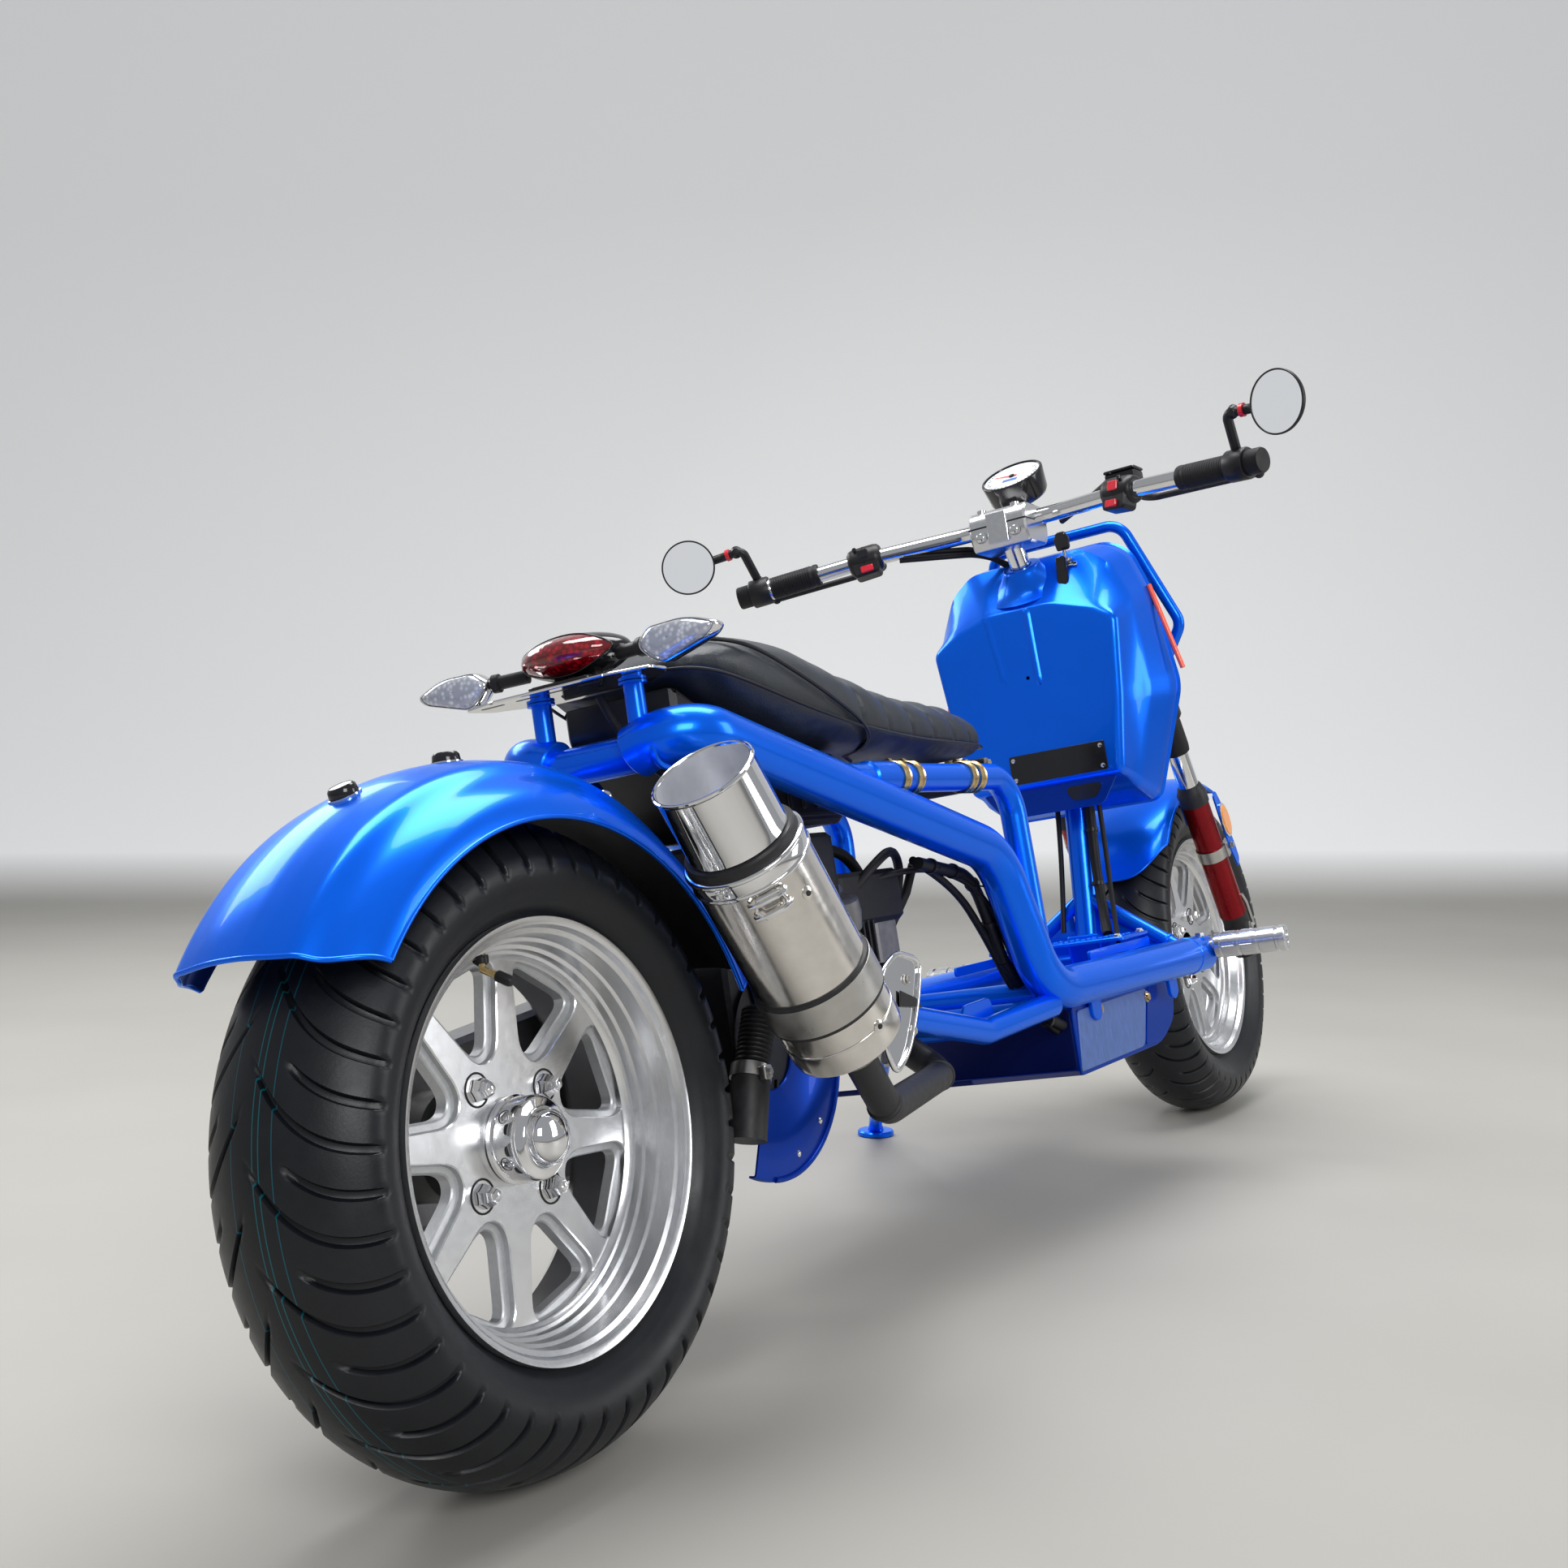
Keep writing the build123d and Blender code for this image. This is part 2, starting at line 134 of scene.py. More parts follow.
def sweep_wall(half=9.0, back_at=5.5, radius=1.2, height=7.0):
    """A floor line that turns up through a quarter circle: s runs along it, w across it."""
    a = np.linspace(0, pi / 2, 17)
    run = np.concatenate([[-9.0], back_at - radius + radius * np.sin(a), [back_at]])
    rise = np.concatenate([[0], radius * (1 - np.cos(a)), [height]])
    toward = np.array([-back.x, -back.y]) / hypot(back.x, back.y)
    across = np.array([toward[1], -toward[0]])
    w = np.array([-half, half])
    ground = run[:, None, None] * toward + w[None, :, None] * across
    grid = np.concatenate([ground, np.broadcast_to(rise[:, None, None], (len(run), 2, 1))], -1)
    n = len(run)
    faces = [(2 * i, 2 * i + 1, 2 * i + 3, 2 * i + 2) for i in range(n - 1)]
    return grid.reshape(-1, 3), faces


floor = mesh_piece("floor_and_wall", *sweep_wall())


def new_material(name):
    """An empty node material with its shader and output."""
    mat = bpy.data.materials.new(name)
    mat.use_nodes = True
    nodes = mat.node_tree.nodes
    return mat, nodes, mat.node_tree.links, nodes["Principled BSDF"]


def set_inputs(node, **values):
    """Constants on a node's own sockets; an underscore stands for the space in a socket's name."""
    for key, value in values.items():
        node.inputs[key.replace("_", " ")].default_value = value


def blend(n, l, share, below, above):
    """One colour over another by a share; each may be a colour or another node's output."""
    mix = n.new("ShaderNodeMixRGB")
    for socket, value in zip(mix.inputs, (share, below, above)):
        if isinstance(value, bpy.types.NodeSocket):
            l.new(value, socket)
        else:
            socket.default_value = (*value, 1)
    return mix.outputs[0]


mat, n, l, shader = new_material("pale_floor_and_wall")
set_inputs(shader, Roughness=0.6, Emission_Color=(1, 1, 1, 1))
cloud = n.new("ShaderNodeTexNoise")
set_inputs(cloud, Scale=1.4, Detail=7)
place = n.new("ShaderNodeTexCoord")
l.new(place.outputs["Object"], cloud.inputs["Vector"])
tint = blend(n, l, cloud.outputs["Fac"], (0.33, 0.315, 0.285), (0.41, 0.40, 0.37))
height = n.new("ShaderNodeSeparateXYZ")
l.new(place.outputs["Object"], height.inputs[0])
upness = n.new("ShaderNodeMapRange")
set_inputs(upness, From_Min=0.0, From_Max=0.16)
l.new(height.outputs["Z"], upness.inputs["Value"])
whole = blend(n, l, upness.outputs["Result"], tint, (0.74, 0.745, 0.75))
l.new(whole, shader.inputs["Base Color"])
# The wall emits a little white light, more the higher it rises from the floor: painted light that keeps the
# backdrop pale.
painted_wall_light = n.new("ShaderNodeMath")
painted_wall_light.operation = "MULTIPLY"
l.new(upness.outputs["Result"], painted_wall_light.inputs[0])
painted_wall_light.inputs[1].default_value = 0.24
l.new(painted_wall_light.outputs[0], shader.inputs["Emission Strength"])
floor.data.materials.append(mat)

# %% Soft light panels and a pale world
PANELS = [
    # name, place (m), aims at (m), size (m), power (W)
    ("overhead", (0.2, 0.2, 3.4), (0, 0, 0.4), (3.2, 1.5), 135),
    ("rear_right", (-2.8, -3.0, 2.2), (-0.2, 0, 0.5), (1.6, 1.6), 74),
    ("right_side", (1.6, -3.4, 1.6), (0.3, 0, 0.5), (1.2, 2.2), 38),
    ("left_rim", (0.5, 3.4, 2.4), (0.2, 0, 0.6), (2.6, 1.0), 46),
]
for name, place_at, aim, size, power in PANELS:
    light = bpy.data.lights.new(name, "AREA")
    light.shape, light.size, light.size_y, light.energy = "RECTANGLE", size[0], size[1], power
    lamp = bpy.data.objects.new(name, light)
    lamp.location = place_at
    lamp.rotation_mode = "QUATERNION"
    lamp.rotation_quaternion = (Vector(place_at) - Vector(aim)).to_track_quat("Z", "Y")
    bpy.context.scene.collection.objects.link(lamp)

world = bpy.data.worlds.new("pale_world")
bpy.context.scene.world = world
world.use_nodes = True
set_inputs(world.node_tree.nodes["Background"], Color=(0.86, 0.89, 0.93, 1), Strength=0.40)
bpy.context.scene.view_settings.view_transform = "Standard"
print(len(PANELS), "light panels")

# %% [markdown]
# ## A small workshop of shapes
# Almost everything on a scooter is turned on a lathe, bent from tube or cut from plate. So
# three tools make most of it. One spins a profile about an axis, one carries a section along
# a path, and one gives a flat outline its thickness. Each returns points and faces, and many
# such parts join into one piece.

# %% Grids and rounding
def grid(points, close_u=False, close_v=False, caps=False, slot=0):
    """Quads over points[u, v]; a closed direction joins its last row to its first."""
    nu, nv = points.shape[:2]
    u = np.arange(nu if close_u else nu - 1)[:, None]
    v = np.arange(nv if close_v else nv - 1)[None]
    u1, v1 = (u + 1) % nu, (v + 1) % nv
    quads = np.stack([u * nv + v, u1 * nv + v, u1 * nv + v1, u * nv + v1], -1).reshape(-1, 4)
    loops, sizes = quads.ravel(), np.full(len(quads), 4)
    if caps:
        ring = np.arange(nv)
        loops = np.concatenate([loops, ring, (nu - 1) * nv + ring[::-1]])
        sizes = np.concatenate([sizes, [nv, nv]])
    return [points.reshape(-1, 3), loops, sizes, np.full(len(sizes), slot)]


def rounded(points, cut, steps=4, closed=False):
    """Each corner is replaced by a short parabola that starts and ends `cut` from it."""
    p = np.asarray(points, float)
    before, after = np.roll(p, 1, 0) - p, np.roll(p, -1, 0) - p
    la, lb = (np.linalg.norm(q, axis=1, keepdims=True) for q in (before, after))
    cut = np.broadcast_to(np.asarray(cut, float).reshape(-1, 1), la.shape)
    a = p + before / np.maximum(la, 1e-9) * np.minimum(cut, la * 0.48)
    b = p + after / np.maximum(lb, 1e-9) * np.minimum(cut, lb * 0.48)
    t = np.linspace(0, 1, steps + 1)[None, :, None]
    curve = (1 - t) ** 2 * a[:, None] + 2 * t * (1 - t) * p[:, None] + t ** 2 * b[:, None]
    if closed:
        return curve.reshape(-1, p.shape[1])
    return np.concatenate([p[:1], curve[1:-1].reshape(-1, p.shape[1]), p[-1:]])


def bent(points, radii, step=9.0):
    """Straight runs joined by true arcs: a corner turning by t starts its arc r tan(t/2) early."""
    p = np.asarray(points, float)
    out = [p[:1]]
    for i, r in zip(range(1, len(p) - 1), radii):
        a, b = p[i - 1] - p[i], p[i + 1] - p[i]
        a, b = a / np.linalg.norm(a), b / np.linalg.norm(b)
        turn = pi - acos(np.clip(a @ b, -1, 1))
        centre = p[i] + (a + b) / np.linalg.norm(a + b) * (r / cos(turn / 2))
        start = p[i] + a * r * tan(turn / 2) - centre
        tangent = -a
        w = np.linspace(0, turn, max(4, int(turn / radians(step)) + 1))[:, None]
        out.append(centre + start * np.cos(w) + tangent * r * np.sin(w))
    out.append(p[-1:])
    return np.concatenate(out)


# %% Lathe, tube bender and plate cutter
def unit(v):
    """A vector of length one."""
    v = np.asarray(v, float)
    return v / np.linalg.norm(v, axis=-1, keepdims=True)


def lathe(profile, start, toward, n=48, slot=0, arc=(0, 2 * pi), closed=False, ref=None):
    """Spins (s, r): a point s along the axis from start, at radius r, at angles over the arc."""
    profile = np.asarray(profile, float)
    axis = unit(toward)
    ref = vec(0, 0, 1) if ref is None else np.asarray(ref, float)
    if abs(axis @ unit(ref)) > 0.95:
        ref = vec(1, 0, 0)
    e1 = unit(np.cross(axis, ref))
    e2 = np.cross(axis, e1)
    whole = abs(arc[1] - arc[0]) > 6.28
    a = np.linspace(*arc, n, endpoint=not whole)[:, None, None]
    s, r = profile[None, :, :1], profile[None, :, 1:]
    points = np.asarray(start) + axis * s + r * (np.cos(a) * e1 + np.sin(a) * e2)
    return grid(points, close_u=whole, close_v=closed, caps=not whole and closed, slot=slot)


def carried(path, section, ref=(0, 1, 0), scale=None, slot=0, closed=False):
    """Carries section (across, up) along a path; ref keeps it from rolling."""
    path, section = np.asarray(path, float), np.asarray(section, float)
    run = unit(np.roll(path, -1, 0) - np.roll(path, 1, 0)) if closed else unit(np.gradient(path, axis=0))
    side_ = np.cross(run, np.asarray(ref, float))
    flat = np.linalg.norm(side_, axis=1, keepdims=True) < 0.03
    side_ = unit(np.where(flat, np.cross(run, (0.3, 0.0, 0.95)) + 1e-9, side_))
    up_ = np.cross(side_, run)
    k = np.ones(len(path)) if scale is None else np.asarray(scale, float)
    p = (path[:, None] + k[:, None, None] * (section[None, :, :1] * side_[:, None]
        + section[None, :, 1:] * up_[:, None]))
    return grid(p, close_u=closed, close_v=True, caps=not closed, slot=slot)


def circle(radius, n=20):
    """n points round a circle."""
    a = np.linspace(0, 2 * pi, n, endpoint=False)
    return np.stack([radius * np.cos(a), radius * np.sin(a)], -1)


def pipe(path, radius, n=20, slot=0, ref=(0, 1, 0), scale=None):
    """A round tube along a path."""
    return carried(path, circle(radius, n), ref, scale, slot)


def slab(outline, origin, e1, e2, low, high, bevel=1.0, slot=0):
    """A flat outline given thickness along e1 x e2, its rims cut back by a small bevel."""
    o = np.asarray(outline, float)
    run = unit(np.roll(o, -1, 0) - np.roll(o, 1, 0))
    area = np.sum(o[:, 0] * np.roll(o[:, 1], -1) - o[:, 1] * np.roll(o[:, 0], -1))
    inward = np.stack([-run[:, 1], run[:, 0]], -1) * np.sign(area)
    e1, e2 = unit(e1), unit(e2)
    out = np.cross(e1, e2)
    rings = [(bevel, low), (0, low + bevel), (0, high - bevel), (bevel, high)]
    p = np.stack([np.asarray(origin) + (o + inward * b)[:, :1] * e1 + (o + inward * b)[:, 1:] * e2 + out * h
        for b, h in rings])
    return grid(p, close_v=True, caps=True, slot=slot)


def box(a, b, c, d):
    """The corners of a rectangle from (a, b) to (c, d)."""
    return [(a, b), (c, b), (c, d), (a, d)]


VIEWS = {"side": ((1, 0, 0), (0, 0, 1)), "top": ((1, 0, 0), (0, 1, 0)), "back": ((0, 1, 0), (0, 0, 1))}


def plate(view, outline, cut, low, high, bevel=1.0, slot=0, at=(0, 0, 0), steps=4):
    """A slab drawn in side view (x, z), top view (x, y) or back view (y, z), its corners rounded by cut."""
    o = rounded(outline, cut, steps, closed=True) if cut else outline
    return slab(o, at, *VIEWS[view], low, high, bevel, slot)


def brick(lo, hi, cut=3.0, bevel=1.0, slot=0):
    """A box between two corners with rounded upright edges and bevelled rims."""
    return plate("top", box(lo[0], lo[1], hi[0], hi[1]), cut, lo[2], hi[2], bevel, slot)


def cross_tube(x, z, half, radius, n=24, slot=0):
    """A straight tube from side to side."""
    return pipe([(x, y, z) for y in (-half, 0, half)], radius, n, slot, ref=(0, 0, 1))


def bolt(at, toward, radius=5.0, height=4.0, slot=0):
    """A washer and a hexagon head standing on a point."""
    washer = lathe([(0, 0), (0, radius * 1.35), (1, radius * 1.35), (1.2, radius * 1.2), (1.2, 0)], at, toward, 20,
        slot)
    head = lathe([(1.2, 0), (1.2, radius), (height, radius), (height + 0.8, radius * 0.8), (height + 0.8, 0)], at,
        toward, 6, slot)
    return [washer, head]


def bolts(places, toward, radius=5.0, height=4.0, slot=0):
    """The same bolt at several places."""
    return [part for at in places for part in bolt(at, toward, radius, height, slot)]


def coil(start, end, turns, radius, per_turn, ref):
    """A helix: the line from start to end plus a circle of that radius square to it."""
    start, end = np.asarray(start, float), np.asarray(end, float)
    way = unit(end - start)
    e1 = unit(np.cross(way, ref))
    a = np.linspace(0, turns * 2 * pi, turns * per_turn)[:, None]
    return start + a / a[-1] * (end - start) + radius * (np.cos(a) * e1 + np.sin(a) * np.cross(way, e1))


def mirrored(parts):
    """The same parts on the other side of the scooter's middle."""
    return [[p[0] * [1, -1, 1], *p[1:]] for p in parts]


def shell(points, thick, slot=0, slot_back=None):
    """An outer grid, the same grid moved back along its normals, and quads round the rim."""
    p = np.asarray(points, float)
    nu, nv = p.shape[:2]
    normal = unit(np.cross(np.gradient(p, axis=0), np.gradient(p, axis=1)))
    q = p - normal * thick
    front, back_ = grid(p, slot=slot), grid(q, slot=slot if slot_back is None else slot_back)
    idx = np.arange(nu * nv).reshape(nu, nv)
    rim = np.concatenate([idx[0], idx[1:, -1], idx[-1, ::-1][1:], idx[::-1, 0][1:-1]])
    nxt = np.roll(rim, -1)
    quads = np.stack([rim, nxt, nxt + nu * nv, rim + nu * nv], -1)
    return [np.concatenate([front[0], back_[0]]), np.concatenate([front[1], back_[1] + nu * nv, quads.ravel()]),
        np.concatenate([front[2], back_[2], np.full(len(quads), 4)]), np.concatenate([front[3], back_[3],
        np.full(len(quads), slot)])]


# %% From parts to a piece
import bmesh
DONE = []


def placed(parts, at):
    """Parts moved to a place."""
    return [[p[0] + at, *p[1:]] for p in parts]


def handed_over(obj, body, replaces):
    """Puts an object in the scene, on its body and in place of the CAD nodes it dresses."""
    bpy.context.scene.collection.objects.link(obj)
    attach(obj, body)
    if replaces:
        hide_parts(*replaces)
    DONE.append(obj.name)
    return obj


def piece(name, parts, materials, body, replaces=(), sharp=38.0, tidy=True, attributes=None):
    """Joins parts into one mesh, leans it, turns its faces outwards and hands it to its body."""
    counts = np.cumsum([0] + [len(p[0]) for p in parts])
    points = parked(np.concatenate([p[0] for p in parts]))
    loops = np.concatenate([p[1] + c for p, c in zip(parts, counts)]).astype(np.int32)
    sizes = np.concatenate([p[2] for p in parts]).astype(np.int32)
    slots = np.concatenate([p[3] for p in parts]).astype(np.int32)
    mesh = bpy.data.meshes.new(name)
    mesh.vertices.add(len(points))
    mesh.vertices.foreach_set("co", points.astype(np.float32).ravel())
    mesh.loops.add(len(loops))
    mesh.loops.foreach_set("vertex_index", loops)
    mesh.polygons.add(len(sizes))
    mesh.polygons.foreach_set("loop_start", np.concatenate([[0], np.cumsum(sizes)[:-1]]).astype(np.int32))
    mesh.polygons.foreach_set("loop_total", sizes)
    mesh.polygons.foreach_set("material_index", slots)
    for key, values in (attributes or {}).items():
        mesh.attributes.new(key, "FLOAT", "POINT").data.foreach_set("value", values.astype(np.float32).ravel())
    mesh.update(calc_edges=True)
    mesh.validate()
    if tidy:
        bm = bmesh.new()
        bm.from_mesh(mesh)
        bmesh.ops.remove_doubles(bm, verts=bm.verts, dist=2e-6)
        bmesh.ops.recalc_face_normals(bm, faces=bm.faces)
        bm.to_mesh(mesh)
        bm.free()
    mesh.shade_smooth()
    mesh.set_sharp_from_angle(angle=radians(sharp))
    for m in materials:
        mesh.materials.append(m)
    print(f"{name}: {len(mesh.polygons)} faces")
    return handed_over(bpy.data.objects.new(name, mesh), body, replaces)

# %% [markdown]
# ## Finishes
# A finish is a small recipe of shader nodes. Candy blue is a metallic base under clear
# lacquer with fine flake. Turned aluminium is stretched noise. Rubber has dust in its pores.
# Every recipe reads Object coordinates, so it stays put on its piece.

# %% Building blocks for finishes
def noise(n, l, where, scale, detail=4.0, rough=0.55, stretch=None):
    """A noise value at Object coordinates, optionally stretched along axes."""
    t = n.new("ShaderNodeTexNoise")
    set_inputs(t, Scale=scale, Detail=detail, Roughness=rough)
    if stretch is not None:
        m = n.new("ShaderNodeMapping")
        set_inputs(m, Scale=stretch)
        l.new(where, m.inputs["Vector"])
        where = m.outputs["Vector"]
    l.new(where, t.inputs["Vector"])
    return t.outputs["Fac"]


def ramp(n, l, value, stops):
    """Colours or greys at places along a value."""
    r = n.new("ShaderNodeValToRGB")
    while len(r.color_ramp.elements) < len(stops):
        r.color_ramp.elements.new(0.5)
    for e, (at, c) in zip(r.color_ramp.elements, stops):
        e.position = at
        e.color = (*c, 1) if hasattr(c, "__len__") else (c, c, c, 1)
    l.new(value, r.inputs["Fac"])
    return r.outputs["Color"]


def bump(n, l, shader, value, strength, distance=0.001):
    """Raises the surface by a value."""
    b = n.new("ShaderNodeBump")
    set_inputs(b, Strength=strength, Distance=distance)
    l.new(value, b.inputs["Height"])
    l.new(b.outputs["Normal"], shader.inputs["Normal"])


def finish(name, color, metallic=0.0, rough=(0.4, 0.5), grain=60.0, tint=0.12, coat=0.0, bumpy=0.0, fine=400.0,
        stretch=None, ior=1.5, dust=None, flake=0.0, spec=0.5, edge=None):
    """A colour that varies a little, a roughness between two values and a fine bump."""
    mat, n, l, s = new_material(name)
    where = n.new("ShaderNodeTexCoord").outputs["Object"]
    set_inputs(s, Metallic=metallic, IOR=ior, Coat_Weight=coat, Coat_Roughness=0.03, Specular_IOR_Level=spec)
    if edge:
        s.inputs["Specular Tint"].default_value = (*edge, 1)
    cloud = noise(n, l, where, grain, 5, 0.6, stretch)
    c = np.array(color)
    tone = ramp(n, l, cloud, [(0.25, c * (1 - tint)), (0.75, np.minimum(c * (1 + tint), 1))])
    if dust:
        amount, dust_color = dust
        speck = ramp(n, l, noise(n, l, where, 9, 8, 0.7), [(0.5, 0.0), (0.78, amount)])
        tone = blend(n, l, speck, tone, dust_color)
    if flake:
        spark = ramp(n, l, noise(n, l, where, 2600, 1, 0.5), [(0.52, 0.0), (0.72, flake)])
        tone = blend(n, l, spark, tone, np.minimum(c * 1.6 + 0.015, 1))
    l.new(tone, s.inputs["Base Color"])
    l.new(ramp(n, l, cloud, [(0.3, rough[0]), (0.7, rough[1])]), s.inputs["Roughness"])
    if bumpy:
        bump(n, l, s, noise(n, l, where, fine, 3, 0.6, stretch), bumpy)
    return mat


# %% The finishes of this scooter
blue = finish("candy_blue_paint", (0.0006, 0.138, 0.95), 0.60, (0.23, 0.265), 14, 0.03, coat=0.22, flake=0.05,
    edge=(0.15, 0.66, 1.0))
# A darker copy of the candy blue for undersides, the fan guard, the floor pan and a leg shield plate: painted shade
# on parts that carry the same blue paint.
shade_painted_blue = finish("candy_blue_painted_shade", (0.0006, 0.035, 0.38), 0.6, (0.34, 0.40), 14, 0.05, coat=0.15, flake=0.03,
    edge=(0.25, 0.62, 1.0))
panel_grey = finish("blue_grey_panel", (0.10, 0.19, 0.50), 0.5, (0.42, 0.5), 220, 0.22, coat=0.15, bumpy=0.10,
    stretch=(1, 1, 0.2))
chrome = finish("polished_chrome", (0.80, 0.80, 0.81), 1.0, (0.035, 0.08), 20, 0.03)
polished = finish("polished_steel_sheet", (0.74, 0.71, 0.67), 1.0, (0.12, 0.22), 90, 0.06, stretch=(1, 1, 1),
    bumpy=0.02, fine=260)
steel = finish("satin_steel", (0.50, 0.49, 0.47), 1.0, (0.26, 0.38), 60, 0.08, bumpy=0.03)
machined = finish("machined_aluminium", (0.72, 0.725, 0.74), 1.0, (0.23, 0.27), 140, 0.05, bumpy=0.03, fine=900)
cast = finish("cast_aluminium_spokes", (0.50, 0.51, 0.525), 0.75, (0.41, 0.46), 260, 0.09, bumpy=0.10, fine=1400)
brass = finish("yellow_passivated_clamp", (0.62, 0.46, 0.22), 1.0, (0.2, 0.34), 90, 0.2)
engine_grey = finish("engine_casting", (0.016, 0.017, 0.021), 0.5, (0.42, 0.6), 120, 0.3, bumpy=0.2, fine=500)
alloy = finish("dull_alloy_casting", (0.19, 0.19, 0.20), 0.8, (0.4, 0.55), 120, 0.18, bumpy=0.15, fine=500)
black_metal = finish("black_heat_paint", (0.020, 0.020, 0.022), 0.1, (0.42, 0.58), 90, 0.3, bumpy=0.08, spec=0.35)
gloss_black = finish("gloss_black_plastic", (0.010, 0.010, 0.012), 0.0, (0.10, 0.18), 60, 0.2)
black = finish("moulded_black_plastic", (0.009, 0.009, 0.011), 0.0, (0.34, 0.46), 60, 0.25, bumpy=0.05, spec=0.35)
rubber = finish("hose_rubber", (0.007, 0.007, 0.009), 0.0, (0.45, 0.6), 80, 0.3, bumpy=0.08, spec=0.3)
red_switch = finish("red_switch_plastic", (0.62, 0.012, 0.03), 0.0, (0.22, 0.3), 80, 0.1, coat=0.4)
red_leg = finish("red_anodised_alloy", (0.24, 0.003, 0.008), 0.7, (0.24, 0.36), 30, 0.14, coat=0.25,
    edge=(0.9, 0.2, 0.2))
amber = finish("amber_reflector", (0.95, 0.30, 0.01), 0.0, (0.12, 0.2), 400, 0.12, coat=0.8, bumpy=0.3, fine=700)
mirror_glass = finish("mirror_glass", (0.97, 0.97, 0.98), 1.0, (0.02, 0.04), 5, 0.01)
# The mirror glass also emits a little white light: a painted reflection of a bright wall.
set_inputs(mirror_glass.node_tree.nodes["Principled BSDF"], Emission_Color=(0.93, 0.95, 0.97, 1),
    Emission_Strength=0.28)
dial_white = finish("dial_face", (0.78, 0.80, 0.84), 0.0, (0.3, 0.4), 40, 0.02)
red_strip = finish("orange_red_strip", (0.90, 0.10, 0.045), 0.0, (0.2, 0.3), 40, 0.05, coat=0.6)
print("finishes made:", len(bpy.data.materials))

# %% [markdown]
# Lenses are clear plastic over a bright reflector. A coat of gloss over a patterned base
# reads as depth, and it survives the trip to other programs better than real glass does.

# %% Lenses, tyre rubber and seat vinyl
def lens(name, color, dark, scale):
    """A gloss skin over small reflector cells."""
    mat, n, l, s = new_material(name)
    where = n.new("ShaderNodeTexCoord").outputs["Object"]
    cells = n.new("ShaderNodeTexVoronoi")
    set_inputs(cells, Scale=scale)
    l.new(where, cells.inputs["Vector"])
    tone = ramp(n, l, cells.outputs["Distance"], [(0.0, color), (0.55, dark)])
    l.new(tone, s.inputs["Base Color"])
    set_inputs(s, Roughness=0.08, Coat_Weight=1.0, Coat_Roughness=0.02, Metallic=0.25)
    bump(n, l, s, cells.outputs["Distance"], 0.25)
    return mat


red_lens = lens("red_tail_lens", (0.62, 0.008, 0.02), (0.16, 0.0, 0.004), 190)
clear_lens = lens("clear_signal_lens", (0.90, 0.92, 0.96), (0.42, 0.44, 0.50), 210)


def tyre_rubber(name, painted_highlight_lines=()):
    """Black rubber with a dusty bloom, and thin painted highlight lines at given places across the tread."""
    mat, n, l, s = new_material(name)
    where = n.new("ShaderNodeTexCoord").outputs["Object"]
    cloud = noise(n, l, where, 34, 8, 0.65)
    tone = ramp(n, l, cloud, [(0.3, (0.0042, 0.0052, 0.0075)), (0.75, (0.0078, 0.0092, 0.0125))])
    dusty = ramp(n, l, noise(n, l, where, 7, 9, 0.75), [(0.60, 0.0), (0.84, 0.22)])
    tone = blend(n, l, dusty, tone, (0.036, 0.036, 0.036))
    if painted_highlight_lines:
        across = n.new("ShaderNodeAttribute")
        across.attribute_name = "across"
        for at, width, color in painted_highlight_lines:
            near = n.new("ShaderNodeMath")
            near.operation = "COMPARE"
            l.new(across.outputs["Fac"], near.inputs[0])
            near.inputs[1].default_value, near.inputs[2].default_value = at, width
            tone = blend(n, l, near.outputs[0], tone, color)
    l.new(tone, s.inputs["Base Color"])
    l.new(ramp(n, l, cloud, [(0.3, 0.34), (0.7, 0.48)]), s.inputs["Roughness"])
    set_inputs(s, Specular_IOR_Level=0.36)
    bump(n, l, s, noise(n, l, where, 420, 4, 0.6), 0.10)
    return mat


# Four thin bluish lines near the middle of the rear tread: painted highlights on its moulded ridges.
rear_rubber = tyre_rubber("rear_tyre_rubber", [(-9, 0.45, (0.0, 0.09, 0.11)), (-14, 0.45, (0.0, 0.09, 0.11)),
    (-24, 0.4, (0.0, 0.07, 0.10)), (11, 0.4, (0.0, 0.07, 0.10))])
front_rubber = tyre_rubber("front_tyre_rubber")

mat, n, l, s = new_material("seat_vinyl")
where = n.new("ShaderNodeTexCoord").outputs["Object"]
pores = n.new("ShaderNodeTexVoronoi")
set_inputs(pores, Scale=620)
l.new(where, pores.inputs["Vector"])
cloud = noise(n, l, where, 22, 5)
l.new(ramp(n, l, cloud, [(0.3, (0.015, 0.020, 0.027)), (0.7, (0.023, 0.029, 0.038))]), s.inputs["Base Color"])
l.new(ramp(n, l, cloud, [(0.3, 0.40), (0.7, 0.52)]), s.inputs["Roughness"])
bump(n, l, s, pores.outputs["Distance"], 0.22, 0.0006)
vinyl = mat

# %% [markdown]
# ## Tyres
# A tread groove is easiest to cut when the mesh already runs along it. So the rows of the tyre
# mesh lean over exactly as the grooves do, with columns packed close together at each groove
# and far apart between them. Long and short grooves take turns, and the left half is shifted
# by one groove.

